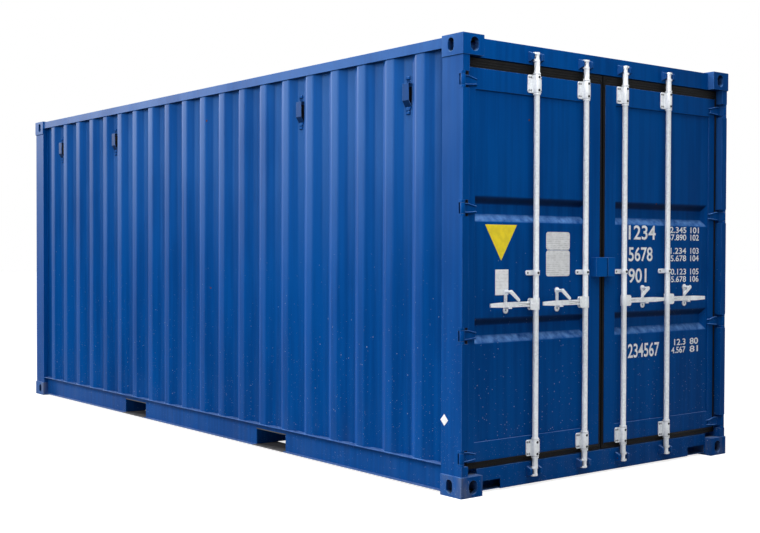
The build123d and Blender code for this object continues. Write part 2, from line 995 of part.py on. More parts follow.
def handle_rest(place):
    """A plate on the leaf with a shelf under the handle and the post of the catch."""
    middle = half_width - place - rest_place
    half = rest_width / 2
    waist = rest_waist / 2
    face = panel_face - rest_plate
    plate = block((middle - waist, middle + waist), (face, panel_face), (rest_base + half, rest_head - half))
    for level in (rest_base + half, rest_head - half):
        plate = plate + rod("Y", (middle, level), half, face, panel_face)
    hole = rod("Y", (middle, rest_base + half), rest_hole_radius, face - overrun, panel_face + overrun)
    plate = plate - hole
    shelf_top = handle_level - handle_height / 2 - seat_gap
    shelf = block(
        (middle - shelf_width / 2, middle + shelf_width / 2),
        (shelf_front, panel_face - rest_plate),
        (shelf_top - shelf_height, shelf_top),
    )
    pivot = rod(
        "Y", (middle, catch_pivot_level), catch_pin_radius,
        catch_front - catch_cap, panel_face - rest_plate,
    )
    boss = rod(
        "Y", (middle, catch_pivot_level), catch_radius - catch_cap,
        catch_front + catch_thickness + pin_clearance, panel_face - rest_plate,
    )
    return plate + shelf + pivot + boss


def catch(place):
    """The swivelling tongue that drops in front of the handle."""
    middle = half_width - place - rest_place
    angle = math.radians(catch_rest_angle)
    tip = (
        middle + catch_length * math.sin(angle),
        catch_pivot_level - catch_length * math.cos(angle),
    )
    side = (math.cos(angle), math.sin(angle))
    line = [
        (middle + side[0] * catch_radius, catch_pivot_level + side[1] * catch_radius),
        (middle - side[0] * catch_radius, catch_pivot_level - side[1] * catch_radius),
        (tip[0] - side[0] * catch_tip, tip[1] - side[1] * catch_tip),
        (tip[0] + side[0] * catch_tip, tip[1] + side[1] * catch_tip),
    ]
    back = catch_front + catch_thickness
    tongue = prism("Y", line, catch_front, back)
    tongue = tongue + rod("Y", (middle, catch_pivot_level), catch_radius, catch_front, back)
    tongue = tongue + rod("Y", tip, catch_tip, catch_front, back)
    bore = rod(
        "Y", (middle, catch_pivot_level), catch_pin_radius + pin_clearance,
        catch_front - overrun, back + overrun,
    )
    return tongue - bore


def lock_half(near, far):
    """Half of the box that guards the padlock, open to the leaf and to the seam."""
    outer = block((near, far), (lock_front, beam_face), (lock_base, lock_head))
    room = block(
        (near + lock_wall, far + overrun),
        (lock_front + lock_wall, beam_face + overrun),
        (lock_base + lock_wall, lock_head - lock_wall),
    )
    return outer - room


def door_nodes(name, left, lock_reach):
    """Every piece of one leaf, made for the left door corner and mirrored for the right."""
    seam = half_width - seal_seam / 2
    pieces = {
        "door_frame": [door_frame()],
        "door_panel": [door_panel()],
        "door_gasket": [door_seal()],
        "door_hinges": [hinge_blade(level) for level in hinge_levels],
        "bar_brackets": bar_brackets(),
        "handle_rests": [handle_rest(place) for place in (outer_bar, inner_bar)],
        "lock_box": [lock_half(half_width - lock_reach, seam)],
    }
    for key, place in (("outer", outer_bar), ("inner", inner_bar)):
        pieces[key + "_bar"] = [locking_bar(place)]
        pieces[key + "_handle"] = [handle(place)]
        pieces[key + "_catch"] = [catch(place)]
    nodes = {}
    for key, shapes in pieces.items():
        placed = [at_corner(shape) for shape in shapes]
        nodes[name + "_" + key] = placed if left else [mirror(s, about=Plane.YZ) for s in placed]
    return nodes


def all_nodes():
    """Every node of the container by its name."""
    left_wall = side_wall()
    nodes = {
        "top_corner_castings": both_ends(both_sides([corner_casting(True)])),
        "bottom_corner_castings": both_ends(both_sides([corner_casting(False)])),
        "door_end_posts": both_sides([door_post()]),
        "front_end_posts": both_sides([front_post()]),
        "door_header": [door_header()],
        "door_sill": [door_sill()],
        "front_header": [front_beam(header_base, beam_top)],
        "front_sill": [front_beam(sill_base, bottom_rail_top)],
        "top_side_rails": both_sides([top_side_rail()]),
        "bottom_side_rails": both_sides(bottom_side_rail()),
        "left_side_wall": [left_wall],
        "right_side_wall": [mirror(left_wall, about=Plane.YZ)],
        "front_wall": [front_wall()],
        "roof_panel": [roof_panel()],
        "roof_end_plates": roof_end_plates(),
        "crossmembers": crossmembers(),
        "fork_pockets": fork_pockets(),
        "fork_frames": fork_frames(),
        "floor_boards": [floor_board_row(row) for row in range(floor_boards_across)],
        "cam_keepers": cam_keepers(),
        "side_vents": both_sides([vent(wave) for wave in vent_wave_numbers]),
        "hinge_pins": both_sides([hinge_pin(level) for level in hinge_levels]),
    }
    nodes.update(door_nodes("left", True, lock_left))
    nodes.update(door_nodes("right", False, lock_right))
    return nodes


def save(name, shapes):
    """Write one node as a STEP file."""
    solids = [solid for shape in shapes for solid in shape.solids()]
    body = solids[0] if len(solids) == 1 else Compound(solids)
    export_step(body, "parts/" + name + ".step")


os.makedirs("parts", exist_ok=True)
for node_name, node_shapes in all_nodes().items():
    save(node_name, node_shapes)
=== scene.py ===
"""Twenty foot freight container: detail pieces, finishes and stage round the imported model.

Lengths are metres, in the frame of the model: X across, Y along with the doors at low Y, Z up.
"""

import json
import math

import bpy
import numpy as np
from bpy.props import FloatProperty, FloatVectorProperty, IntProperty, PointerProperty
from mathutils import Matrix, Vector


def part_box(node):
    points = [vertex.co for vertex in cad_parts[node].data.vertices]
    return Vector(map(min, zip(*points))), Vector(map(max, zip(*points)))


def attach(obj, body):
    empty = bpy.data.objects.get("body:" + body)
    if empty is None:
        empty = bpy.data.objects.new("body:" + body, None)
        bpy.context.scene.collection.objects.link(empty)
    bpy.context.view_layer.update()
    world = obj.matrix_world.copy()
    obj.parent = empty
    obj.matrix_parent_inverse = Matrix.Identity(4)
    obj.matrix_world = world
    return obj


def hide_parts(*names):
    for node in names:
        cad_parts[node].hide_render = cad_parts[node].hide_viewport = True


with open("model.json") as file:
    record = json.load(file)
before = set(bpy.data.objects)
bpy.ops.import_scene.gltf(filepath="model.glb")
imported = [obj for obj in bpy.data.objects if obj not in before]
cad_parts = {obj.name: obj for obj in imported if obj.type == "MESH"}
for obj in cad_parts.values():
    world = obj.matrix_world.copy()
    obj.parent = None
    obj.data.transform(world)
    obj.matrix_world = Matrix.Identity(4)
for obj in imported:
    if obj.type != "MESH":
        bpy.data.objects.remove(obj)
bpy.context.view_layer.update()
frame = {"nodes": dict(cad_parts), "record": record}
NODES = frame["nodes"]

bl_info = {
    "name": "Freight container",
    "version": (1, 0, 0),
    "blender": (4, 5, 0),
    "location": "3D View > Sidebar > Container",
    "description": "Detail pieces, finishes and stage of a twenty foot freight container",
    "category": "Object",
}

# Planes and places of the steel box
HALF_WIDTH = 1.219
HALF_LENGTH = 3.029
HEIGHT = 2.591
CASTING_HEIGHT = 0.118
WALL_BASE, WALL_HEAD = 0.170, 2.523
HEADER_BASE = 2.473
ROOF_EDGE = 2.583
SIDE_SETBACK, SIDE_DEPTH, SIDE_REACH = 0.014, 0.036, 2.851
FRONT_SETBACK, FRONT_DEPTH, FRONT_REACH = 0.014, 0.045, 1.095
SIDES = (("left", -1.0), ("right", 1.0))

# Doors: their faces, the outer and the inner bar from the middle, the hinges' levels, and the level and
# height of the brackets
BEAM_FACE = -HALF_LENGTH + 0.050
PANEL_FACE = -HALF_LENGTH + 0.060
BLADE_FACE = -HALF_LENGTH + 0.040
BAR_PLACES = (0.610, 0.180)
BAR_AXIS = -HALF_LENGTH + 0.026
HINGES = (0.222, 0.908, 1.620, 2.334)
BRACKETS = ((0.224, 0.096), (2.360, 0.106))
GUIDE_LEVEL = 1.254
HANDLE_LEVEL = 1.072
HUB_OFFSET = 0.040

# Seals: hinge edge and free edge from the side of the container, foot and head
LEAF = (0.076, 1.194, 0.176, 2.413)
SEAL_LIMIT = (0.0615, 1.2145, 0.1505, 2.4675)
SEAL_STRIPS = ((0.076, 1.194, 0.1745, 0.186), (0.0745, 0.085, 0.180, 2.410))
SEAL_FACE = -HALF_LENGTH + 0.054

# Door panels and their two troughs
PANEL_MIDDLE, PANEL_HALF = 0.599, 0.478
PANEL_LOW, PANEL_HIGH = 0.297, 2.292
TROUGHS = (0.927, 1.621)
TROUGH_MOUTH, TROUGH_FLOOR, TROUGH_DEPTH, TROUGH_END = 0.150, 0.050, 0.036, 0.030

# Vents along the sides
VENT_PLACES = (2.502, 1.390, -1.390, -2.502)
VENT_LEVEL = 2.296
VENT_FACE = 1.171

# Waves of the side and front walls: how many, their pitch, crest and ramp
SIDE_WAVES = (20, 0.278, 0.072, 0.068)
FRONT_WAVES = (8, 0.250, 0.110, 0.018)
WALL_ROWS = 25
RIM_ROW = 0.002

# Camera at the angle of the photograph
CAMERA_PLACE = (-5.5897, -7.8246, 1.3857)
CAMERA_HEADING, CAMERA_PITCH, CAMERA_ROLL = math.radians(-38.33), math.radians(1.07), math.radians(0.16)
CAMERA_LENS = 55.43
CAMERA_SHIFT = 5.30 / 760


# Sizes and colours

def length(name, words, value, low):
    """A length property in metres with its default and its lowest value."""
    return FloatProperty(
        name=name, description=words, default=value, min=low, unit="LENGTH", subtype="DISTANCE")


def colour(name, words, value):
    """A colour property with its default."""
    return FloatVectorProperty(
        name=name, description=words, default=value, size=3, min=0.0, max=1.0, subtype="COLOR")


class ContainerSizes(bpy.types.PropertyGroup):
    """Sizes of the detail pieces."""

    wall_bend: length("Wall bend", "Length of each run taken up by a bend of the walls", 0.011, 0.001)
    wall_gauge: length("Wall gauge", "Thickness of the wall sheets", 0.002, 0.001)
    wall_dent: length("Wall dents", "Greatest depth of the shallow waves in the walls", 0.0016, 0.0)
    weld_radius: length("Weld radius", "Radius of the weld beads", 0.0035, 0.001)
    weld_ripple: length("Weld ripple", "Distance from one ripple of a weld bead to the next", 0.012, 0.004)
    rivet_radius: length("Rivet radius", "Radius of the rivet heads", 0.0065, 0.001)
    rib_radius: length("Seal rib", "Radius of the ribs on the door seals", 0.0032, 0.001)
    edge_round: length("Edge rounding", "Width of the rounded edges of pressed steel", 0.0018, 0.0005)
    casting_round: length("Casting rounding", "Width of the rounded edges of the castings", 0.0100, 0.001)
    blade_rib: length("Hinge rib", "Radius of the raised ribs on the hinge blades", 0.0055, 0.001)
    plate_thickness: length("Plate thickness", "Thickness of the bare plates on the door", 0.0012, 0.0002)
    seed: IntProperty(
        name="Seed", description="Start of the repeatable random draws", default=7, min=0)


class ContainerColours(bpy.types.PropertyGroup):
    """Colours of the finishes."""

    paint: colour("Paint", "Blue of the walls and doors", (0.0002, 0.066, 0.275))
    # Deep paint; darkened, it is also the painted shade on faces that look downwards
    deep_paint_and_shade: colour("Deep paint", "Darker blue of the streaks", (0.0001, 0.046, 0.205))
    # Chalked paint, also the painted sheen on faces that look sideways
    chalk_and_sheen: colour("Chalked paint", "Paler blue where the paint is chalked", (0.068, 0.165, 0.400))
    # Scuff colour, also the painted highlight on faces that look upwards and on the edges of vents and lock
    # boxes
    scuff_and_highlight: colour("Scuff", "Pale rubbed blue along edges", (0.110, 0.260, 0.580))
    dust: colour("Dust", "Pale dust and specks", (0.400, 0.450, 0.530))
    # Grey road grime; darkened to near black, it is also the painted shade in hollows
    grime: colour("Grime", "Grey road grime", (0.200, 0.195, 0.180))
    rust: colour("Rust", "Brown of the rust specks", (0.110, 0.038, 0.014))
    zinc: colour("Zinc", "Pale zinc of the locking gear", (0.900, 0.925, 0.950))
    # Greyer zinc; darkened, it is also the painted shade in the corners of the gear
    zinc_shade: colour("Shaded zinc", "Greyer spangles of the zinc", (0.780, 0.805, 0.840))
    rubber: colour("Rubber", "Black of the door seals", (0.0035, 0.0035, 0.0040))
    wood: colour("Floor wood", "Brown of the floor boards", (0.300, 0.165, 0.085))
    wood_dark: colour("Dark grain", "Dark grain of the floor boards", (0.130, 0.062, 0.030))
    wax: colour("Underside wax", "Dark coating under the floor", (0.020, 0.020, 0.022))
    bolt: colour("Bolt heads", "Dark heads of the bracket bolts", (0.030, 0.030, 0.034))
    rivet: colour("Rivet heads", "Dull grey heads of the rivets", (0.230, 0.240, 0.255))
    steel: colour("Bare steel", "Hinge pins", (0.400, 0.400, 0.410))
    plate_yellow: colour("Yellow plate", "Three-cornered plate", (0.900, 0.700, 0.006))
    plate_silver: colour("Silver plate", "Bare data plate", (0.680, 0.690, 0.700))
    plate_white: colour("White plate", "Bare label", (0.900, 0.910, 0.920))
    figures: colour("Figures", "Painted figures on the door", (0.930, 0.950, 0.970))
    floor: colour("Stage floor", "Pale floor of the stage", (0.420, 0.420, 0.420))


def sizes():
    """The sizes that the user can set."""
    return bpy.context.scene.container_sizes


def colours():
    """The colours that the user can set."""
    return bpy.context.scene.container_colours


# Surfaces from arrays

def grid_faces(rows, columns, closed=False):
    """Four-sided faces of a grid of points, joined round in the column direction if closed."""
    column = np.arange(columns if closed else columns - 1)
    row = np.arange(rows - 1)[:, None]
    after = (column + 1) % columns
    corners = (row * columns + column, row * columns + after,
               (row + 1) * columns + after, (row + 1) * columns + column)
    return np.stack(corners, axis=-1).reshape(-1, 4)


def make_piece(name, shape, finish, body, smooth=True):
    """One mesh object at the origin from a shape, which is an array of points and a list of faces."""
    points, faces = shape
    mesh = bpy.data.meshes.new(name)
    mesh.from_pydata(points.reshape(-1, 3).tolist(), [], [list(map(int, face)) for face in faces])
    mesh.validate()
    mesh.polygons.foreach_set("use_smooth", [smooth] * len(mesh.polygons))
    mesh.materials.append(FINISHES[finish])
    piece = bpy.data.objects.new(name, mesh)
    bpy.context.scene.collection.objects.link(piece)
    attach(piece, body)
    return piece


def rounded_line(points, cut, steps=4):
    """A line whose corners are rounded.

    Each corner is replaced by a parabola that touches both runs at the same distance from the
    corner: (1-w)^2 start + 2w(1-w) corner + w^2 end, for w from 0 to 1.
    """
    points = np.asarray(points, float)
    before, here, after = points[:-2], points[1:-1], points[2:]
    back = before - here
    ahead = after - here
    back_size = np.linalg.norm(back, axis=1, keepdims=True)
    ahead_size = np.linalg.norm(ahead, axis=1, keepdims=True)
    near = np.minimum(cut, 0.45 * np.minimum(back_size, ahead_size))
    start = here + back / back_size * near
    end = here + ahead / ahead_size * near
    w = np.linspace(0.0, 1.0, steps + 1)[None, :, None]
    curve = (1 - w) ** 2 * start[:, None] + 2 * w * (1 - w) * here[:, None] + w ** 2 * end[:, None]
    return np.vstack([points[:1], curve.reshape(-1, points.shape[1]), points[-1:]])


def line_normals(line):
    """Unit normals to the left of a flat line, each the mean of the runs beside its point."""
    run = np.diff(line, axis=0)
    run /= np.linalg.norm(run, axis=1, keepdims=True)
    mean = np.vstack([run[:1], run[:-1] + run[1:], run[-1:]])
    mean /= np.linalg.norm(mean, axis=1, keepdims=True)
    return np.stack([-mean[:, 1], mean[:, 0]], axis=1)


def resampled(path, step, closed=False):
    """Points at an even distance along a path of straight runs."""
    path = np.asarray(path, float)
    if closed:
        path = np.vstack([path, path[:1]])
    run = np.linalg.norm(np.diff(path, axis=0), axis=1)
    place = np.concatenate([[0.0], np.cumsum(run)])
    count = max(2, int(round(place[-1] / step)) + 1)
    wanted = np.linspace(0.0, place[-1], count)
    if closed:
        wanted = wanted[:-1]
    even = np.stack([np.interp(wanted, place, path[:, k]) for k in range(3)], axis=1)
    return even, wanted


def swept(path, radius, sides=6, closed=False):
    """A round section carried along a path.

    Point (i, j) is path i + radius i (cos a side i + sin a up i), where a is 2 pi j / sides, up is
    square to the path's direction i and side is square to both. Open ends are closed by a face.
    """
    path = np.asarray(path, float)
    if closed:
        ahead = np.roll(path, -1, axis=0) - np.roll(path, 1, axis=0)
    else:
        ahead = np.gradient(path, axis=0)
    ahead /= np.linalg.norm(ahead, axis=1, keepdims=True)
    guide = np.where(np.abs(ahead[:, 2:3]) > 0.9, [[1.0, 0.0, 0.0]], [[0.0, 0.0, 1.0]])
    side = np.cross(ahead, guide)
    side /= np.linalg.norm(side, axis=1, keepdims=True)
    up = np.cross(side, ahead)
    angle = np.arange(sides) * 2 * np.pi / sides
    radius = np.broadcast_to(radius, len(path))[:, None, None]
    ring = np.cos(angle)[None, :, None] * side[:, None] + np.sin(angle)[None, :, None] * up[:, None]
    points = path[:, None] + radius * ring
    rows = len(path)
    if closed:
        points = np.concatenate([points, points[:1]])
        rows += 1
    faces = grid_faces(rows, sides, closed=True)[:, ::-1].tolist()
    if closed:
        last = (rows - 1) * sides
        faces = [[c - last if c >= last else c for c in f] for f in faces]
        points = points[:-1]
    else:
        faces.append(list(range(sides)))
        faces.append([len(path) * sides - 1 - k for k in range(sides)])
    return points.reshape(-1, 3), faces


def joined(parts):
    """Several (points, faces) shapes as one."""
    points, faces, start = [], [], 0
    for some_points, some_faces in parts:
        points.append(some_points)
        faces.extend([[c + start for c in f] for f in some_faces])
        start += len(some_points)
    return np.vstack(points), faces


def dome(radius, height, sides=12, rings=4):
    """A rivet head: rings of radius r cos t at height h sin t, with t from 0 to near a right angle."""
    t = np.linspace(0.0, 0.46 * np.pi, rings)
    angle = np.arange(sides) * 2 * np.pi / sides
    across = radius * np.cos(t)[:, None] * np.stack([np.cos(angle), np.sin(angle)])[:, None, :]
    up = np.broadcast_to((height * np.sin(t))[:, None], (rings, sides))
    points = np.stack([across[0], across[1], up], axis=-1).reshape(-1, 3)
    faces = grid_faces(rings, sides, closed=True).tolist()
    faces.append([(rings - 1) * sides + k for k in range(sides)])
    faces.append([sides - 1 - k for k in range(sides)])
    return points, faces


def bolt_head(radius, height, sides=6):
    """A six-sided head with a chamfered top: three rings of radius r, r and 0.86 r."""
    angle = np.arange(sides) * 2 * np.pi / sides
    ring = np.stack([np.cos(angle), np.sin(angle)], axis=1)
    levels = ((1.0, 0.0), (1.0, 0.78), (0.86, 1.0))
    points = np.vstack([
        np.column_stack([ring * radius * grow, np.full(sides, height * rise)]) for grow, rise in levels])
    faces = grid_faces(3, sides, closed=True).tolist()
    faces.append([2 * sides + k for k in range(sides)])
    faces.append([sides - 1 - k for k in range(sides)])
    return points, faces


FACING = {
    "door": np.array([[1.0, 0.0, 0.0], [0.0, 0.0, 1.0], [0.0, -1.0, 0.0]]),
    "left": np.array([[0.0, -1.0, 0.0], [0.0, 0.0, 1.0], [-1.0, 0.0, 0.0]]),
    "right": np.array([[0.0, 1.0, 0.0], [0.0, 0.0, 1.0], [1.0, 0.0, 0.0]]),
    "up": np.eye(3),
}


def placed(shape, facing, places):
    """Copies of a small shape, drawn with +Z outwards, at many places on faces that look one way."""
    points, faces = shape
    turned = points @ FACING[facing]
    return joined([(turned + np.asarray(place, float), faces) for place in places])


def flat_plate(outline, thickness, rim, facing, centre):
    """A thin plate with a sloping rim: the outline at the back, and again a little smaller in front."""
    outline = np.asarray(outline, float)
    middle = outline.mean(axis=0)
    shrink = 1.0 - rim / np.linalg.norm(outline - middle, axis=1, keepdims=True)
    inner = middle + (outline - middle) * shrink
    count = len(outline)
    points = np.vstack([
        np.column_stack([outline, np.zeros(count)]),
        np.column_stack([outline, np.full(count, thickness * 0.5)]),
        np.column_stack([inner, np.full(count, thickness)])])
    faces = grid_faces(3, count, closed=True).tolist()
    faces.append([2 * count + k for k in range(count)])
    faces.append([count - 1 - k for k in range(count)])
    return points @ FACING[facing] + np.asarray(centre, float), faces


def rounded_box_outline(width, height, corner, steps=5):
    """An anticlockwise rectangle whose corners are quarter circles."""
    angle = np.linspace(0.0, np.pi / 2, steps)
    parts = []
    for quarter, (sx, sz) in enumerate(((1, 1), (-1, 1), (-1, -1), (1, -1))):
        turn = angle + quarter * np.pi / 2
        parts.append(np.column_stack([
            sx * (width / 2 - corner) + corner * np.cos(turn),
            sz * (height / 2 - corner) + corner * np.sin(turn)]))
    return np.vstack(parts)


# Walls and panels

def wave_line(waves, pitch, crest, ramp, depth, reach):
    """Places along a corrugated wall and depths behind its crests.

    Each wave has four points: out at the depth, on the crest's two edges, and out at the depth
    again, a ramp away from the crest. The waves stand a pitch apart about the middle.
    """
    middle = ((np.arange(waves) - (waves - 1) / 2) * pitch)[:, None]
    step = np.array([-crest / 2 - ramp, -crest / 2, crest / 2, crest / 2 + ramp])
    place = (middle + step).ravel()
    deep = np.tile([depth, 0.0, 0.0, depth], waves)
    return np.column_stack([
        np.concatenate([[-reach], place, [reach]]), np.concatenate([[depth], deep, [depth]])])


def shallow_waves(along, up, depth, seed):
    """Shallow dents: the sum of a few slow sine waves of random direction and phase, scaled to depth."""
    draw = np.random.default_rng(seed)
    total = np.zeros(np.broadcast(along, up).shape)
    for _ in range(9):
        turn_a, turn_z, shift = draw.uniform(1.5, 9.0), draw.uniform(1.0, 6.0), draw.uniform(0, 6.28)
        total = total + np.sin(along * turn_a + shift) * np.sin(up * turn_z + 2 * shift)
    return depth * total / 9


def folded_sheet(line, gauge, low, high, rows, dent, seed, to_space):
    """A folded sheet with a front and a back skin.

    Point (i, j) of a skin is line point j, moved inwards by the dent at (j, height i), and on the
    back skin by the gauge along the line's normal. The second row from each rim lies close to it,
    so that the rim doesn't shade the sheet. to_space turns along, deep and up into points.
    """
    normal = line_normals(line)
    inner = np.linspace(low, high, rows - 2)[1:-1]
    up = np.concatenate([[low, low + RIM_ROW], inner, [high - RIM_ROW, high]])[:, None]
    ease = np.sin(np.pi * (up - low) / (high - low))
    wave = shallow_waves(line[None, :, 0], up, dent, seed) * ease
    skins = []
    for away in (0.0, gauge):
        along = line[:, 0] + normal[:, 0] * away + 0.0 * up
        deep = line[:, 1] + normal[:, 1] * away + np.abs(wave)
        skins.append(to_space(along, deep, np.broadcast_to(up, along.shape)))
    columns = len(line)
    first = grid_faces(rows, columns)
    second = first[:, ::-1] + rows * columns
    count = rows * columns
    edge = np.concatenate([
        np.arange(columns), np.arange(1, rows) * columns + columns - 1,
        (rows - 1) * columns + np.arange(columns - 2, -1, -1), np.arange(rows - 2, 0, -1) * columns])
    after = np.roll(edge, -1)
    rim = np.stack([after, edge, edge + count, after + count], axis=1)
    points = np.concatenate([s.reshape(-1, 3) for s in skins])
    return points, np.vstack([first, second, rim])


def door_panel_depth(across, up, half, mouth, bottom, deep, end_ramp):
    """Depth of the pressed troughs of a door panel.

    One ramp falls from a trough's mouth to its floor and one from its closed ends, each held from
    0 to 1. With t as the smaller of the two, the depth is the greatest depth times a mixture of t
    and the smooth step 3t^2 - 2t^3.
    """
    total = np.zeros(np.broadcast(across, up).shape)
    for level in TROUGHS:
        slope = (mouth - bottom) / 2
        rise = np.clip((mouth / 2 - np.abs(up - level)) / slope, 0.0, 1.0)
        ends = np.clip((half - np.abs(across)) / end_ramp, 0.0, 1.0)
        both = np.minimum(rise, ends)
        total = total + deep * (0.55 * both + 0.45 * (3 * both ** 2 - 2 * both ** 3))
    return total


# Finishes

def add(tree, kind, inputs=None, **settings):
    """A shader node with its settings, its inputs given as values or as sockets to link."""
    made = tree.nodes.new("ShaderNode" + kind)
    for key, value in settings.items():
        setattr(made, key, value)
    for key, value in (inputs or {}).items():
        if isinstance(value, bpy.types.NodeSocket):
            tree.links.new(value, made.inputs[key])
        else:
            made.inputs[key].default_value = value
    return made


def mixed(tree, factor, first, second):
    """A colour between two colours, each a socket to link or three numbers."""
    first, second = (one if isinstance(one, bpy.types.NodeSocket) else (*one, 1.0) for one in (first, second))
    return add(tree, "Mix", {0: factor, 6: first, 7: second}, data_type="RGBA").outputs[2]


def toned(colour, share):
    """A colour with each of its parts multiplied by a share."""
    return tuple(share * part for part in colour)


def maths(tree, operation, first, second=0.0):
    """A Math node of two values."""
    return add(tree, "Math", {0: first, 1: second}, operation=operation).outputs[0]


def times(tree, first, second):
    """The product of two values."""
    return maths(tree, "MULTIPLY", first, second)


def spread(tree, value, low, high, start=0.0, stop=1.0):
    """The value carried evenly from the range start to stop onto the range low to high."""
    return add(tree, "MapRange", {"Value": value, "From Min": start, "From Max": stop,
                                  "To Min": low, "To Max": high}).outputs[0]


def ramped(tree, value, low, high):
    """The value eased from 0 at low to 1 at high."""
    return add(tree, "MapRange", {"Value": value, "From Min": low, "From Max": high},
               interpolation_type="SMOOTHSTEP").outputs[0]


def noise(tree, where, stretch, detail=3.0, roughness=0.55):
    """Noise with a cell count per metre for each axis."""
    scaled = add(tree, "Mapping", {"Vector": where, "Scale": stretch}).outputs[0]
    return add(tree, "TexNoise", {"Vector": scaled, "Scale": 1.0, "Detail": detail,
                                  "Roughness": roughness}).outputs["Fac"]


def specks(tree, where, count, reach, share):
    """Round specks: the inside of some cells of a cell pattern, more of them where share is high."""
    cells = add(tree, "TexVoronoi", {"Vector": where, "Scale": count})
    parts = add(tree, "SeparateColor", {"Color": cells.outputs["Color"]})
    size = times(tree, parts.outputs[0], reach)
    inside = maths(tree, "LESS_THAN", cells.outputs["Distance"], size)
    chosen = maths(tree, "LESS_THAN", parts.outputs[1], share)
    return times(tree, inside, chosen)


def edge_mask(tree, radius, low=0.03, high=0.30):
    """High beside sharp edges, from how far a rounded normal turns off the true one."""
    soft = add(tree, "Bevel", {"Radius": radius}, samples=4).outputs[0]
    true = add(tree, "NewGeometry").outputs["Normal"]
    same = add(tree, "VectorMath", {0: soft, 1: true}, operation="DOT_PRODUCT").outputs["Value"]
    return ramped(tree, maths(tree, "SUBTRACT", 1.0, same), low, high)


def start_finish(name):
    """A new material with its tree, its shader and its object coordinates."""
    finish = bpy.data.materials.new(name)
    finish.use_nodes = True
    tree = finish.node_tree
    tree.nodes.clear()
    shader = add(tree, "BsdfPrincipled")
    out = add(tree, "OutputMaterial")
    tree.links.new(shader.outputs[0], out.inputs[0])
    where = add(tree, "TexCoord").outputs["Object"]
    return finish, tree, shader, where


def dress(tree, shader, shade, rough, height, strength, distance):
    """Link the colour, the roughness and a bump to the shader."""
    bump = add(tree, "Bump", {"Height": height, "Strength": strength, "Distance": distance}).outputs[0]
    for key, socket in (("Base Color", shade), ("Roughness", rough), ("Normal", bump)):
        tree.links.new(socket, shader.inputs[key])


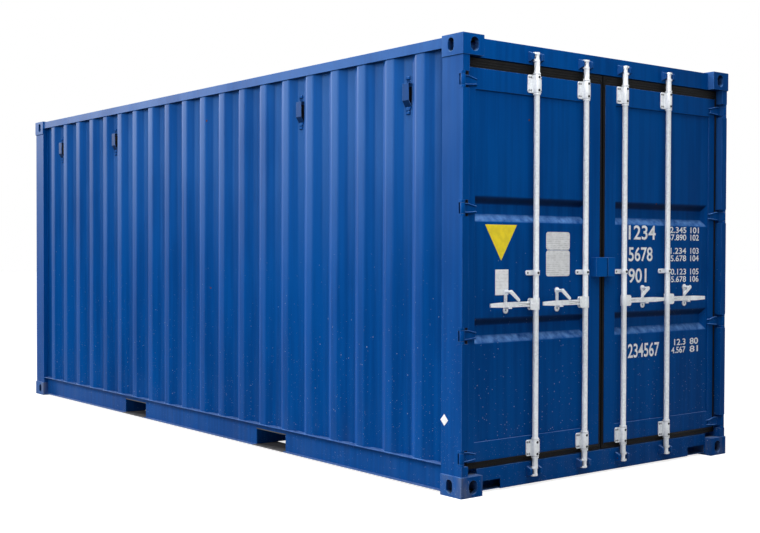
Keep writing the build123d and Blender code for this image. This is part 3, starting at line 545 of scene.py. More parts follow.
def painted_steel(name, edge_rub_and_glint=0.5, grime=0.05, speck_top=1.5, rust_share=0.0006, coarse=0.25, shade_reach=0.0,
                  sheen_share=0.46, sheen_from=0.9, tint=1.0):
    """Blue container paint with streaks, chalking and painted sheen, painted light and shade, dust, specks,
    rubbed edges and rust.
    """
    c = colours()
    finish, tree, shader, where = start_finish(name)
    up = add(tree, "SeparateXYZ", {0: where}).outputs[2]
    facing = add(tree, "SeparateXYZ", {0: add(tree, "NewGeometry").outputs["Normal"]})
    sideways, upwards = facing.outputs[0], facing.outputs[2]

    cloud = noise(tree, where, (1.1, 1.1, 0.6), 3.0)
    streak = noise(tree, where, (24.0, 24.0, 0.9), 4.0, 0.6)
    tone = maths(tree, "ADD", times(tree, cloud, 0.5), times(tree, streak, 0.5))
    paint = mixed(tree, ramped(tree, tone, 0.36, 0.62), toned(c.deep_paint_and_shade, tint), toned(c.paint, tint))

    # Chalking and painted sheen: faces that look sideways are paled towards the top, as a grazing sky would
    # light them.
    outward = ramped(tree, maths(tree, "ABSOLUTE", sideways), 0.86, 0.99)
    chalk_and_sheen = times(tree, ramped(tree, up, sheen_from, 2.5), outward)
    chalk_and_sheen = times(tree, chalk_and_sheen, ramped(tree, cloud, 0.18, 0.62))
    paint = mixed(tree, times(tree, chalk_and_sheen, sheen_share), paint, c.chalk_and_sheen)

    film = times(tree, ramped(tree, maths(tree, "SUBTRACT", 0.6, up), 0.0, 0.6),
                 ramped(tree, noise(tree, where, (9.0, 9.0, 4.0), 5.0), 0.42, 0.75))
    paint = mixed(tree, times(tree, film, grime), paint, c.grime)

    # Rubbed edges; at full share, as on the vent and the lock box, they also serve as a painted highlight
    # along the edges.
    rubbed = times(tree, edge_mask(tree, 0.005),
                   ramped(tree, noise(tree, where, (14.0, 14.0, 9.0), 5.0, 0.65), 0.34, 0.66))
    paint = mixed(tree, times(tree, rubbed, edge_rub_and_glint), paint, c.scuff_and_highlight)
    rub_patch = ramped(tree, noise(tree, where, (5.0, 5.0, 2.2), 6.0, 0.7), 0.66, 0.80)
    paint = mixed(tree, times(tree, rub_patch, 0.24 * coarse), paint, c.scuff_and_highlight)

    # Painted shade: faces that look downwards are darkened nearly to black.
    underside_shade = ramped(tree, times(tree, upwards, -1.0), 0.30, 0.70)
    paint = mixed(tree, times(tree, underside_shade, 0.88), paint, toned(c.deep_paint_and_shade, 0.12))

    # Painted light: faces that look upwards are paled with the scuff colour, less so where they are level.
    top_light = ramped(tree, upwards, 0.30, 0.65)
    top_light = times(tree, top_light, ramped(tree, noise(tree, where, (22.0, 22.0, 22.0), 5.0), 0.20, 0.75))
    level = times(tree, ramped(tree, upwards, 0.88, 0.98), 0.70)
    top_light = times(tree, top_light, maths(tree, "SUBTRACT", 0.95, level))
    paint = mixed(tree, top_light, paint, c.scuff_and_highlight)
    # Dust on faces that look upwards, which also serves as painted light on upward slopes such as the
    # troughs' lower slopes.
    dust_and_top_light = times(tree, ramped(tree, upwards, 0.55, 0.92),
                    ramped(tree, noise(tree, where, (30.0, 30.0, 30.0), 4.0), 0.22, 0.60))
    paint = mixed(tree, times(tree, dust_and_top_light, 0.15), paint, c.dust)

    falling = spread(tree, up, 0.060, 0.0, 0.05, speck_top)
    large = specks(tree, where, 36.0, 0.15, falling)
    middling = specks(tree, where, 68.0, 0.22, times(tree, falling, 3.0))
    fine = specks(tree, where, 110.0, 0.28, times(tree, falling, 5.0))
    spots = maths(tree, "MAXIMUM", maths(tree, "MAXIMUM", large, middling), times(tree, fine, 0.6))
    paint = mixed(tree, times(tree, spots, 0.50), paint, c.dust)
    paint = mixed(tree, specks(tree, where, 27.0, 0.30, rust_share), paint, c.rust)
    # Painted shade: hollows such as casting holes and the inside of vent hoods are darkened to a near black
    # made from the grime colour.
    if shade_reach:
        open_share = add(tree, "AmbientOcclusion", {"Distance": shade_reach}, samples=8, only_local=True)
        inside = ramped(tree, maths(tree, "SUBTRACT", 1.0, open_share.outputs["AO"]), 0.42, 0.62)
        paint = mixed(tree, inside, paint, toned(c.grime, 0.10))

    rough = spread(tree, noise(tree, where, (6.0, 6.0, 3.0), 4.0), 0.36, 0.52, 0.3, 0.7)
    rough = maths(tree, "ADD", rough, times(tree, maths(tree, "MAXIMUM", dust_and_top_light, rubbed), 0.3))
    peel = maths(tree, "ADD", times(tree, noise(tree, where, (160.0, 160.0, 160.0), 2.0), 0.12),
                 times(tree, noise(tree, where, (12.0, 12.0, 7.0), 3.0), coarse))
    peel = maths(tree, "ADD", peel, times(tree, spots, 0.5))
    shader.inputs["Specular IOR Level"].default_value = 0.025
    dress(tree, shader, paint, rough, peel, 0.35, 0.002)
    return finish


def zinc_gear():
    """Pale zinc with faint spangles, dull runs, dirt in its corners and painted shade where parts meet."""
    c = colours()
    finish, tree, shader, where = start_finish("pale_zinc")
    cells = add(tree, "TexVoronoi", {"Vector": where, "Scale": 90.0})
    part = add(tree, "SeparateColor", {"Color": cells.outputs["Color"]}).outputs[0]
    tone = maths(tree, "ADD", times(tree, part, 0.35),
                 times(tree, noise(tree, where, (30.0, 30.0, 5.0), 4.0), 0.65))
    shade = mixed(tree, ramped(tree, tone, 0.30, 0.58), c.zinc_shade, c.zinc)
    dirt = times(tree, edge_mask(tree, 0.004, 0.05, 0.5),
                 ramped(tree, noise(tree, where, (60.0, 60.0, 60.0), 4.0), 0.50, 0.75))
    shade = mixed(tree, times(tree, dirt, 0.55), shade, c.grime)
    # Painted shade: corners where parts meet, such as bar and bracket, are darkened to a dark grey.
    open_share = add(tree, "AmbientOcclusion", {"Distance": 0.035}, samples=6).outputs["AO"]
    corner = ramped(tree, maths(tree, "SUBTRACT", 1.0, open_share), 0.45, 0.85)
    shade = mixed(tree, times(tree, corner, 0.75), shade, toned(c.zinc_shade, 0.35))
    shader.inputs["Metallic"].default_value = 0.15
    dress(tree, shader, shade, spread(tree, tone, 0.34, 0.56),
          noise(tree, where, (220.0, 220.0, 90.0), 3.0), 0.25, 0.0006)
    return finish


def seal_rubber():
    """Matt black rubber, a little dusty."""
    c = colours()
    finish, tree, shader, where = start_finish("seal_rubber")
    film = ramped(tree, noise(tree, where, (18.0, 18.0, 6.0), 5.0), 0.50, 0.85)
    shade = mixed(tree, times(tree, film, 0.05), c.rubber, c.grime)
    shader.inputs["Specular IOR Level"].default_value = 0.08
    dress(tree, shader, shade, spread(tree, film, 0.45, 0.70),
          noise(tree, where, (140.0, 140.0, 140.0), 2.0), 0.2, 0.001)
    return finish


def floor_wood():
    """Worn plywood: long grain, wheel scuffs and dust."""
    c = colours()
    finish, tree, shader, where = start_finish("floor_wood")
    grain = noise(tree, where, (60.0, 2.2, 20.0), 7.0, 0.65)
    band = noise(tree, where, (3.0, 0.5, 3.0), 3.0)
    shade = mixed(tree, ramped(tree, grain, 0.34, 0.64), c.wood_dark, c.wood)
    worn = times(tree, ramped(tree, band, 0.45, 0.70), 0.45)
    shade = mixed(tree, worn, shade, c.grime)
    dress(tree, shader, shade, spread(tree, grain, 0.55, 0.80), grain, 0.4, 0.0015)
    return finish


def plain_finish(name, dark, light, counts, roughness, metallic=0.0, bump=0.25, step=0.001):
    """A finish of two near colours in noise, with uneven gloss and a fine bump."""
    finish, tree, shader, where = start_finish(name)
    tone = noise(tree, where, counts, 5.0, 0.6)
    shade = mixed(tree, ramped(tree, tone, 0.34, 0.66), dark, light)
    shader.inputs["Metallic"].default_value = metallic
    dress(tree, shader, shade, spread(tree, tone, roughness - 0.1, roughness + 0.12),
          noise(tree, where, tuple(3 * count for count in counts), 3.0), bump, step)
    return finish


def ruled_plate(name, base, metallic, pitch, depth):
    """A bare plate with fine level rules, their weight broken up by noise."""
    finish, tree, shader, where = start_finish(name)
    up = add(tree, "SeparateXYZ", {0: where}).outputs[2]
    wave = maths(tree, "SINE", times(tree, up, 2 * math.pi / pitch))
    rule = times(tree, ramped(tree, wave, 0.35, 0.9),
                 ramped(tree, noise(tree, where, (45.0, 45.0, 1.0 / pitch), 3.0), 0.40, 0.62))
    cloud = noise(tree, where, (30.0, 30.0, 30.0), 4.0)
    shade = mixed(tree, ramped(tree, cloud, 0.3, 0.7), toned(base, 0.86), base)
    shade = mixed(tree, times(tree, rule, depth), shade, toned(base, 0.42))
    shader.inputs["Metallic"].default_value = metallic
    dress(tree, shader, shade, spread(tree, cloud, 0.32, 0.55), rule, 0.3, 0.0003)
    return finish


FINISHES = {}


def make_finishes():
    """Every finish by the name that the operators ask for."""
    c = colours()
    FINISHES.update(
        paint=painted_steel("blue_paint"),
        keeper=painted_steel("keeper_paint", edge_rub_and_glint=1.0, grime=0.2, rust_share=0.006, sheen_share=0.2),
        # Full edge rubbing on the lock box and the vent is also a painted highlight on their top edges.
        box=painted_steel("box_paint", edge_rub_and_glint=1.0, sheen_share=0.3, tint=1.25),
        vent=painted_steel("vent_paint", edge_rub_and_glint=1.0, shade_reach=0.05, sheen_share=0.12, tint=0.6),
        # The castings take the painted sheen at every height.
        casting=painted_steel("casting_paint", edge_rub_and_glint=0.85, grime=0.55, rust_share=0.006, coarse=0.7,
                              shade_reach=0.09, sheen_share=0.65, sheen_from=-2.5),
        wax=plain_finish("underside_wax", c.wax, toned(c.wax, 3.2), (14, 14, 14), 0.62),
        wood=floor_wood(),
        steel=plain_finish("bare_steel", toned(c.steel, 0.6), c.steel,
                           (50, 50, 50), 0.42, metallic=0.9),
        bolt=plain_finish("dark_bolt", toned(c.bolt, 0.5), c.bolt,
                          (60, 60, 60), 0.55, metallic=0.5),
        rivet=plain_finish("dull_rivet", toned(c.rivet, 0.7), c.rivet,
                           (70, 70, 70), 0.5, metallic=0.3),
        rubber=seal_rubber(),
        zinc=zinc_gear(),
        yellow=plain_finish("yellow_plate", toned(c.plate_yellow, 0.86),
                            c.plate_yellow, (26, 26, 26), 0.42, step=0.0003),
        silver=ruled_plate("silver_plate", c.plate_silver, 0.35, 0.0125, 0.55),
        white=ruled_plate("white_plate", c.plate_white, 0.0, 0.0200, 0.25),
        figures=plain_finish("painted_figures", toned(c.figures, 0.82),
                             c.figures, (40, 40, 40), 0.5, step=0.0002),
    )


SLOT_FINISH = {
    "container_paint": "paint", "casting_paint": "casting", "underside_coating": "wax",
    "floor_wood": "wood", "pin_steel": "steel", "rubber_seal": "rubber", "zinc_gear": "zinc",
}
NODE_FINISH = {"side_vents": "vent", "cam_keepers": "keeper", "left_lock_box": "box", "right_lock_box": "box"}


# Operators

def round_edges(node, width, segments=2):
    """Weld the node's loose triangles and round its sharp edges, as modifiers only."""
    weld = node.modifiers.new("weld", "WELD")
    weld.merge_threshold = 0.00002
    bevel = node.modifiers.new("round", "BEVEL")
    bevel.width = width
    bevel.segments = segments
    bevel.limit_method = "ANGLE"
    bevel.angle_limit = math.radians(38)
    bevel.use_clamp_overlap = True
    bevel.miter_outer = "MITER_ARC"


class CONTAINER_OT_finish_nodes(bpy.types.Operator):
    """Give every solid of the model its finish, and round the edges of the castings and of the painted and
    zinc solids
    """
    bl_idname = "container.finish_nodes"
    bl_label = "Finish Solids"

    def execute(self, context):
        make_finishes()
        slots = {row["node"]: row["material_slot"] for row in frame["record"]["subparts"]}
        s = sizes()
        for name, node in NODES.items():
            finish = FINISHES[NODE_FINISH.get(name, SLOT_FINISH[slots[name]])]
            for place in node.material_slots:
                place.material = finish
            if slots[name] == "casting_paint":
                round_edges(node, s.casting_round, 3)
            elif slots[name] in ("container_paint", "zinc_gear"):
                round_edges(node, s.edge_round)
        return {"FINISHED"}


class CONTAINER_OT_walls(bpy.types.Operator):
    """Make the corrugated walls with rounded bends and shallow dents"""
    bl_idname = "container.walls"
    bl_label = "Corrugated Walls"

    def execute(self, context):
        s = sizes()
        line = rounded_line(wave_line(*SIDE_WAVES, SIDE_DEPTH, SIDE_REACH), s.wall_bend)
        for number, (side, sign) in enumerate(SIDES):
            def to_space(along, deep, up, sign=sign):
                return np.stack([sign * (HALF_WIDTH - SIDE_SETBACK - deep), along, up], axis=-1)
            points, faces = folded_sheet(line, s.wall_gauge, WALL_BASE, WALL_HEAD, WALL_ROWS,
                                         s.wall_dent, s.seed + number, to_space)
            if sign > 0:
                faces = faces[:, ::-1]
            skin = make_piece(side + "_wall_skin", (points, faces), "paint", "root")
            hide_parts(side + "_side_wall")
        line = rounded_line(wave_line(*FRONT_WAVES, FRONT_DEPTH, FRONT_REACH), s.wall_bend)

        def to_front(along, deep, up):
            return np.stack([along, HALF_LENGTH - FRONT_SETBACK - deep, up], axis=-1)
        sheet = folded_sheet(line, s.wall_gauge, WALL_BASE, HEADER_BASE, WALL_ROWS,
                             s.wall_dent, s.seed + 5, to_front)
        skin = make_piece("front_wall_skin", sheet, "paint", "root")
        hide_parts("front_wall")
        return {"FINISHED"}


class CONTAINER_OT_door_panels(bpy.types.Operator):
    """Make the pressed panels of the doors with their closed trough ends"""
    bl_idname = "container.door_panels"
    bl_label = "Door Panels"

    def execute(self, context):
        s = sizes()
        half, low, high = PANEL_HALF, PANEL_LOW, PANEL_HIGH
        rim, end = 0.004, 0.05
        close_rows = np.linspace(-0.082, 0.082, 60)
        fine = np.unique(np.concatenate([
            np.linspace(low, high, 40), *(level + close_rows for level in TROUGHS)]))
        wide = np.unique(np.concatenate([
            np.linspace(-half, half, 30), np.linspace(half - end, half, 18),
            np.linspace(-half, end - half, 18)]))
        across, up = np.meshgrid(wide, fine)
        depth = door_panel_depth(across, up, half - rim, TROUGH_MOUTH, TROUGH_FLOOR, TROUGH_DEPTH, TROUGH_END)
        ease = np.cos(np.pi * across / (2 * half)) * np.sin(np.pi * (up - low) / (high - low))
        for number, (side, sign) in enumerate(SIDES):
            bulge = np.abs(shallow_waves(across, up, 0.0012, s.seed + 20 + number)) * ease
            deep = depth + bulge
            skins = []
            for away in (0.0, s.wall_gauge):
                skins.append(np.stack([across + sign * PANEL_MIDDLE, PANEL_FACE + deep + away, up], axis=-1))
            points = np.concatenate([skin.reshape(-1, 3) for skin in skins])
            first = grid_faces(*up.shape)
            second = first[:, ::-1] + up.size
            panel = make_piece(side + "_panel_skin", (points, np.vstack([first, second])),
                               "paint", side + "_door")
            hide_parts(side + "_door_panel")
        return {"FINISHED"}


class CONTAINER_OT_seal_ribs(bpy.types.Operator):
    """Lay the ribs round the front lip of each door seal"""
    bl_idname = "container.seal_ribs"
    bl_label = "Seal Ribs"

    def execute(self, context):
        s = sizes()
        for side, sign in SIDES:
            ribs = []
            for share in (0.22, 0.50, 0.78):
                ring = [inner + (outer - inner) * share for inner, outer in zip(LEAF, SEAL_LIMIT)]
                edge, free, foot, head = ring
                corners = [(edge, foot), (free, foot), (free, head), (edge, head)]
                path = [(sign * (HALF_WIDTH - u), SEAL_FACE + 0.001, z) for u, z in corners]
                even, _ = resampled(path, 0.06, closed=True)
                ribs.append(swept(even, s.rib_radius, 8, closed=True))
            for near, far, low, high in SEAL_STRIPS:
                outline = rounded_box_outline(far - near, high - low, 0.003)
                centre = (sign * (HALF_WIDTH - (near + far) / 2), BEAM_FACE, (low + high) / 2)
                ribs.append(flat_plate(outline, 0.004, 0.0015, "door", centre))
            make_piece(side + "_seal_ribs", joined(ribs), "rubber", side + "_door")
        return {"FINISHED"}


class CONTAINER_OT_welds(bpy.types.Operator):
    """Run the weld beads along walls, posts, castings and roof"""
    bl_idname = "container.welds"
    bl_label = "Weld Beads"

    def bead(self, path):
        """A swept bead whose radius rises and falls once each ripple."""
        s = sizes()
        even, place = resampled(path, s.weld_ripple / 3)
        draw = np.random.default_rng(s.seed + len(even))
        swell = 1.0 + 0.10 * np.sin(place * 2 * np.pi / s.weld_ripple) + draw.uniform(-0.05, 0.05, len(even))
        return swept(even, s.weld_radius * swell, 6)

    def execute(self, context):
        s = sizes()
        side_line = rounded_line(wave_line(*SIDE_WAVES, SIDE_DEPTH, SIDE_REACH), s.wall_bend, 2)
        front_line = rounded_line(wave_line(*FRONT_WAVES, FRONT_DEPTH, FRONT_REACH), s.wall_bend, 2)
        for side, sign in SIDES:
            beads = []
            for level in (WALL_BASE, WALL_HEAD):
                beads.append(self.bead([
                    (sign * (HALF_WIDTH - SIDE_SETBACK - deep), along, level) for along, deep in side_line]))
            make_piece(side + "_wall_welds", joined(beads), "paint", "root")
        beads = []
        for level in (WALL_BASE, HEADER_BASE):
            beads.append(self.bead([
                (along, HALF_LENGTH - FRONT_SETBACK - deep, level) for along, deep in front_line]))
        inset, back = 0.006, 0.176
        rear_nose, front_nose = 0.056, 0.124
        wall_end, rail_end = HALF_WIDTH - 0.049, HALF_WIDTH - 0.008
        beam_end, sill_low, sill_high = 1.057, 0.012, 0.116
        roof_end, roof_top = 1.1835, ROOF_EDGE + 0.0008
        for sign in (-1, 1):
            for end, nose in ((-1, rear_nose), (1, front_nose)):
                for level in (CASTING_HEIGHT, HEIGHT - CASTING_HEIGHT):
                    beads.append(self.bead([
                        (sign * (HALF_WIDTH - u), end * (HALF_LENGTH - v), level)
                        for u, v in ((inset, back), (inset, inset), (nose, inset))]))
                for x, low, high in ((wall_end, WALL_BASE, WALL_HEAD), (rail_end, WALL_HEAD, ROOF_EDGE)):
                    beads.append(self.bead([(sign * x, end * SIDE_REACH, z) for z in (low, high)]))
            for low, high in ((HEADER_BASE + 0.001, ROOF_EDGE), (sill_low, sill_high)):
                beads.append(self.bead([(sign * beam_end, BEAM_FACE, z) for z in (low, high)]))
            beads.append(self.bead([(sign * roof_end, y, roof_top) for y in (-SIDE_REACH, SIDE_REACH)]))
        make_piece("frame_welds", joined(beads), "paint", "root")
        return {"FINISHED"}


class CONTAINER_OT_fasteners(bpy.types.Operator):
    """Set the rivets and bolts of the brackets and guides, the hub heads, and the clips and black shade
    plates of the vents
    """
    bl_idname = "container.fasteners"
    bl_label = "Rivets and Bolts"

    def execute(self, context):
        s = sizes()
        rivet = dome(s.rivet_radius, s.rivet_radius * 0.5)
        bolt = bolt_head(s.rivet_radius * 1.25, s.rivet_radius * 0.6)
        gauge, hump, off_middle, hub_front = 0.008, 0.0205, 0.002, 0.013
        clip_offset, tail_offset, mouth_depth = 0.103, 0.081, 0.0015
        for side, sign in SIDES:
            rivets, bolts = [], []
            for place in BAR_PLACES:
                for level, tall in BRACKETS:
                    for way in (-1, 1):
                        high = level + way * 0.36 * tall
                        for across in (-0.048, -0.032, 0.032, 0.048):
                            rivets.append((sign * place + across, BEAM_FACE - gauge, high))
                        bolts.append((sign * place - off_middle, BAR_AXIS - hump, high))
                for across in (-0.042, 0.042):
                    rivets.append((sign * place + across, PANEL_FACE - gauge, GUIDE_LEVEL))
                bolts.append((sign * place - off_middle, BAR_AXIS - hump, GUIDE_LEVEL))
            make_piece(side + "_door_rivets", placed(rivet, "door", rivets), "rivet",
                       side + "_door")
            make_piece(side + "_door_bolts", placed(bolt, "door", bolts), "bolt",
                       side + "_door", smooth=False)
            for key, place in zip(("outer", "inner"), BAR_PLACES):
                hub = (sign * (place + HUB_OFFSET), BAR_AXIS - hub_front, HANDLE_LEVEL)
                make_piece(side + "_" + key + "_hub_head", placed(bolt, "door", [hub]), "zinc",
                           side + "_" + key + "_bar", smooth=False)
            clip = rounded_box_outline(0.034, 0.020, 0.003)
            tail = [(-0.030, 0.014), (-0.012, -0.014), (0.012, -0.014), (0.030, 0.014)]
            face = sign * VENT_FACE
            clips = [flat_plate(clip, 0.007, 0.002, side, (face, y, VENT_LEVEL + way * clip_offset))
                     for y in VENT_PLACES for way in (-1, 1)]
            clips += [flat_plate(tail, 0.006, 0.002, side, (face, y, VENT_LEVEL - tail_offset))
                      for y in VENT_PLACES]
            make_piece(side + "_vent_clips", joined(clips), "paint", "root")
            # Painted shade: a thin black plate on the wall inside each vent hood stands for the dark opening
            # seen past its open sides.
            mouth = rounded_box_outline(0.056, 0.100, 0.004)
            shade_plates = [flat_plate(mouth, mouth_depth, 0.0005, side,
                                 (sign * (VENT_FACE - mouth_depth), y, VENT_LEVEL)) for y in VENT_PLACES]
            make_piece(side + "_vent_shade_plates", joined(shade_plates), "rubber", "root")
        return {"FINISHED"}


class CONTAINER_OT_hinge_ribs(bpy.types.Operator):
    """Press a raised rib along the upper and the lower edge of each hinge blade"""
    bl_idname = "container.hinge_ribs"
    bl_label = "Hinge Ribs"

    def execute(self, context):
        s = sizes()
        near, upper_far, lower_far = 0.0245, 0.0120, 0.0190
        proud, bent = 0.001, 0.010
        for side, sign in SIDES:
            ribs = []
            for level in HINGES:
                for way, far in ((-1, lower_far), (1, upper_far)):
                    line = [(0.046, near, proud), (0.080, near, proud),
                            (0.134, far, proud), (0.156, far, bent)]
                    path = [(sign * (HALF_WIDTH - u), BLADE_FACE + v, level + way * z) for u, z, v in line]
                    even, place = resampled(path, 0.004)
                    share = place / place[-1]
                    ease = np.clip(np.minimum(share, 1.0 - share) * 8.0, 0.15, 1.0)
                    ribs.append(swept(even, s.blade_rib * ease, 10))
            make_piece(side + "_hinge_ribs", joined(ribs), "paint", side + "_door")
        return {"FINISHED"}


class CONTAINER_OT_plates(bpy.types.Operator):
    """Fix the bare plates and labels to the left door and the posts"""
    bl_idname = "container.plates"
    bl_label = "Bare Plates"

    def execute(self, context):
        s = sizes()
        thick = s.plate_thickness
        half_wide, half_tall = 0.1275, 0.1035
        triangle = [(half_wide, half_tall), (-half_wide, half_tall), (0.0, -half_tall)]
        plate = flat_plate(triangle, thick, 0.004, "door", (-0.8625, PANEL_FACE, 1.4295))
        make_piece("yellow_plate", plate, "yellow", "left_door", smooth=False)
        label = rounded_box_outline(0.105, 0.148, 0.003)
        plate = flat_plate(label, thick, 0.001, "door", (-0.8555, PANEL_FACE, 1.201))
        make_piece("white_label", plate, "white", "left_door", smooth=False)
        shapes = []
        place, wide, corner, rivet_place, rivet_inset = -0.3875, 0.205, 0.016, 0.092, 0.012
        for low, high in ((1.231, 1.3860), (1.3890, 1.496)):
            middle, tall = (low + high) / 2, high - low
            half = rounded_box_outline(wide, tall, corner)
            shapes.append(flat_plate(half, thick, 0.002, "door", (place, PANEL_FACE, middle)))
            corners = [(place + sx * rivet_place, PANEL_FACE - thick, middle + sz * (tall / 2 - rivet_inset))
                       for sx in (-1, 1) for sz in (-1, 1)]
            shapes.append(placed(dome(0.0035, 0.0018, 10, 3), "door", corners))
        make_piece("silver_plate", joined(shapes), "silver", "left_door", smooth=False)
        diamond = [(0.0, 0.033), (-0.032, 0.0), (0.0, -0.033), (0.032, 0.0)]
        across, along, level = 1.213, 2.878, 0.426
        marks = [flat_plate(diamond, thick, 0.002, side, (sign * across, sign * along, level))
                 for side, sign in SIDES]
        make_piece("post_marks", joined(marks), "white", "root", smooth=False)
        return {"FINISHED"}


class CONTAINER_OT_figures(bpy.types.Operator):
    """Paint plain figures on the right door"""
    bl_idname = "container.figures"
    bl_label = "Plain Figures"

    def row(self, text, left, right, low, high):
        """Flat figures fitted to a box: their own outline, scaled to the box's width and height."""
        curve = bpy.data.curves.new("figures", "FONT")
        curve.body = text
        curve.offset = 0.016
        curve.fill_mode = "FRONT"
        maker = bpy.data.objects.new("figures", curve)
        mesh = bpy.data.meshes.new_from_object(maker)
        flat = np.empty(len(mesh.vertices) * 3)
        mesh.vertices.foreach_get("co", flat)
        flat = flat.reshape(-1, 3)[:, :2]
        faces = [list(p.vertices) for p in mesh.polygons]
        bpy.data.objects.remove(maker)
        bpy.data.curves.remove(curve)
        bpy.data.meshes.remove(mesh)
        share = (flat - flat.min(axis=0)) / (flat.max(axis=0) - flat.min(axis=0))
        points = np.column_stack([
            left + share[:, 0] * (right - left),
            np.full(len(share), PANEL_FACE - 0.0006),
            low + share[:, 1] * (high - low)])
        return points, faces

    def execute(self, context):
        rows = []
        margin, large_tall = 0.262, 0.092
        for text, right, low in (("1234", 0.530, 1.456), ("5678", 0.500, 1.317), ("901", 0.440, 1.180),
                                 ("234567", 0.575, 0.700)):
            rows.append(self.row(text, margin, right, low, low + large_tall))
        value_end, unit_start, unit_end = 0.850, 0.895, 0.985
        for number, text in enumerate(("12.345", "67.890", "1.234", "5.678", "90.123", "45.678")):
            pair, half = divmod(number, 2)
            low = 1.503 - pair * 0.138 - half * 0.049
            rows.append(self.row(text, value_end - 0.033 * len(text), value_end, low, low + 0.040))
            rows.append(self.row(str(101 + number), unit_start, unit_end, low, low + 0.040))
        for number, text in enumerate(("12.3", "4.567")):
            low = 0.760 - number * 0.052
            rows.append(self.row(text, value_end - 0.030 * len(text), value_end, low, low + 0.042))
            rows.append(self.row(str(80 + number), unit_start, unit_end, low, low + 0.042))
        make_piece("door_figures", joined(rows), "figures", "right_door", smooth=False)
        return {"FINISHED"}


class CONTAINER_OT_floor_screws(bpy.types.Operator):
    """Sink the screws of the floor boards along the crossmembers"""
    bl_idname = "container.floor_screws"
    bl_label = "Floor Screws"

    def execute(self, context):
        head = bolt_head(0.006, 0.0012, 8)
        low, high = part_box("floor_boards")
        margin, in_a_row, rows, pitch, offset, sunk = 0.04, 16, 19, 0.296, 0.022, 0.0002
        across = np.linspace(low.x + margin, high.x - margin, in_a_row)
        along = (np.arange(rows) - (rows - 1) / 2) * pitch + offset
        places = [(x, y, WALL_BASE - sunk) for y in along for x in across]
        make_piece("floor_screws", placed(head, "up", places), "steel", "root", smooth=False)
        return {"FINISHED"}


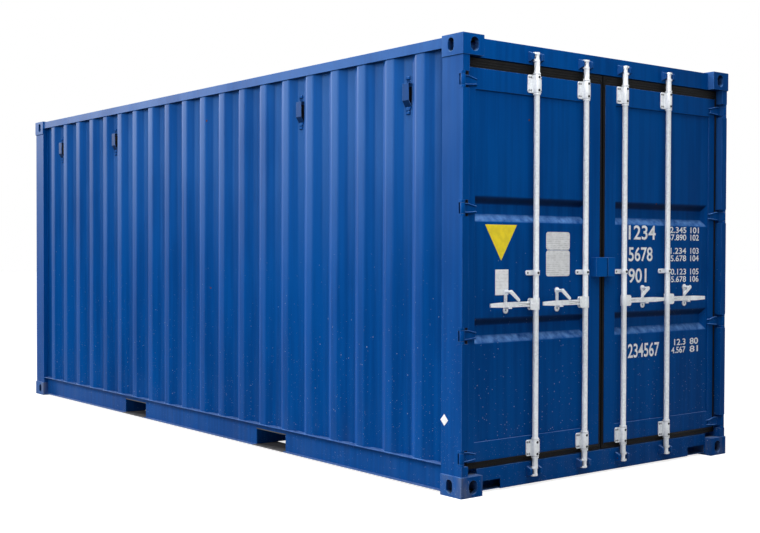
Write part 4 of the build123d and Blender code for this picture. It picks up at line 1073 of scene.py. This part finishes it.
class CONTAINER_OT_stage(bpy.types.Operator):
    """Set up the floor, the lights, the background and the camera"""
    bl_idname = "container.stage"
    bl_label = "Stage"

    def place(self, name, data):
        """A new object of the scene."""
        thing = bpy.data.objects.new(name, data)
        bpy.context.scene.collection.objects.link(thing)
        return thing

    def seen(self, tree):
        """High for what the camera sees, by itself, in gloss or through glass."""
        path = add(tree, "LightPath")
        seen = maths(tree, "MAXIMUM", path.outputs["Is Camera Ray"], path.outputs["Is Glossy Ray"])
        return maths(tree, "MAXIMUM", seen, path.outputs["Is Transmission Ray"])

    def floor(self):
        """A pale floor that goes over into the background."""
        reach = 60.0
        mesh = bpy.data.meshes.new("stage_floor")
        corners = [(-reach, -reach, 0.0), (reach, -reach, 0.0), (reach, reach, 0.0), (-reach, reach, 0.0)]
        mesh.from_pydata(corners, [], [(0, 1, 2, 3)])
        self.place("stage_floor", mesh)
        finish, tree, shader, _ = start_finish("stage_floor")
        shader.inputs["Base Color"].default_value = (*colours().floor, 1.0)
        shader.inputs["Roughness"].default_value = 0.9
        shader.inputs["Specular IOR Level"].default_value = 0.1
        tree.links.new(times(tree, self.seen(tree), 0.82), shader.inputs["Emission Strength"])
        shader.inputs["Emission Color"].default_value = (1.0, 1.0, 1.0, 1.0)
        mesh.materials.append(finish)

    def lamp(self, name, place, aim, size, power):
        """A square-cornered lamp that shines at a point."""
        data = bpy.data.lights.new(name, "AREA")
        data.shape = "RECTANGLE"
        data.size, data.size_y = size
        data.energy = power
        lamp = self.place(name, data)
        lamp.location = place
        lamp.rotation_euler = (Vector(aim) - Vector(place)).to_track_quat("-Z", "Y").to_euler()

    def low_sun(self, towards, strength, width):
        """A sun that stands in a direction, with its width in degrees."""
        data = bpy.data.lights.new("low_sun", "SUN")
        data.energy = strength
        data.angle = math.radians(width)
        lamp = self.place("low_sun", data)
        lamp.rotation_euler = Vector(towards).to_track_quat("Z", "Y").to_euler()

    def world(self):
        """White where it is seen, and a soft cool light on everything else."""
        world = bpy.data.worlds.new("studio")
        bpy.context.scene.world = world
        world.use_nodes = True
        tree = world.node_tree
        tree.nodes.clear()
        plain = add(tree, "Background", {"Color": (0.90, 0.95, 1.0, 1.0), "Strength": 0.19})
        white = add(tree, "Background", {"Color": (1.0, 1.0, 1.0, 1.0), "Strength": 1.0})
        both = add(tree, "MixShader", {0: self.seen(tree), 1: plain.outputs[0], 2: white.outputs[0]})
        add(tree, "OutputWorld", {0: both.outputs[0]})

    def camera(self):
        """The camera, turned to its heading and pitch and then rolled."""
        level = math.cos(CAMERA_PITCH)
        forward = Vector((
            -math.sin(CAMERA_HEADING) * level, math.cos(CAMERA_HEADING) * level, -math.sin(CAMERA_PITCH)))
        data = bpy.data.cameras.new("camera")
        data.sensor_width = 36.0
        data.lens = CAMERA_LENS
        data.shift_y = CAMERA_SHIFT
        camera = self.place("camera", data)
        camera.location = CAMERA_PLACE
        roll = Matrix.Rotation(CAMERA_ROLL, 3, "Z").to_quaternion()
        camera.rotation_euler = (forward.to_track_quat("-Z", "Y") @ roll).to_euler()
        bpy.context.scene.camera = camera

    def execute(self, context):
        context.scene.view_settings.view_transform = "Standard"
        self.floor()
        self.world()
        self.lamp("overhead", (-1.5, -3.9, 8.5), (-0.3, -2.0, 0.0), (7.0, 3.5), 620.0)
        self.lamp("far_left", (-10.5, 0.5, 6.5), (0.0, -0.8, 2.0), (7.0, 5.0), 880.0)
        self.low_sun((-0.20, 0.95, 0.22), 2.6, 5.0)
        self.lamp("doors", (-1.9, -4.7, 3.4), (-1.0, -3.0, 2.2), (1.2, 1.0), 32.0)
        self.camera()
        return {"FINISHED"}


OPERATORS = (
    CONTAINER_OT_finish_nodes, CONTAINER_OT_walls, CONTAINER_OT_door_panels, CONTAINER_OT_seal_ribs,
    CONTAINER_OT_welds, CONTAINER_OT_fasteners, CONTAINER_OT_hinge_ribs, CONTAINER_OT_plates,
    CONTAINER_OT_figures, CONTAINER_OT_floor_screws, CONTAINER_OT_stage,
)


class CONTAINER_PT_pieces(bpy.types.Panel):
    """Lists the sizes, the colours and the pieces"""
    bl_idname = "CONTAINER_PT_pieces"
    bl_label = "Freight Container"
    bl_space_type = "VIEW_3D"
    bl_region_type = "UI"
    bl_category = "Container"

    def draw(self, context):
        layout = self.layout
        for group in (context.scene.container_sizes, context.scene.container_colours):
            column = layout.column()
            for key in type(group).__annotations__:
                column.prop(group, key)
        for operator in OPERATORS:
            layout.operator(operator.bl_idname)


CLASSES = (ContainerSizes, ContainerColours, *OPERATORS, CONTAINER_PT_pieces)


def register():
    for one in CLASSES:
        bpy.utils.register_class(one)
    bpy.types.Scene.container_sizes = PointerProperty(type=ContainerSizes)
    bpy.types.Scene.container_colours = PointerProperty(type=ContainerColours)


def unregister():
    del bpy.types.Scene.container_colours
    del bpy.types.Scene.container_sizes
    for one in reversed(CLASSES):
        bpy.utils.unregister_class(one)


def main():
    """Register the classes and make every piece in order."""
    register()
    bpy.ops.container.finish_nodes()
    bpy.ops.container.walls()
    bpy.ops.container.door_panels()
    bpy.ops.container.seal_ribs()
    bpy.ops.container.welds()
    bpy.ops.container.fasteners()
    bpy.ops.container.hinge_ribs()
    bpy.ops.container.plates()
    bpy.ops.container.figures()
    bpy.ops.container.floor_screws()
    bpy.ops.container.stage()


if __name__ == "__main__":
    main()
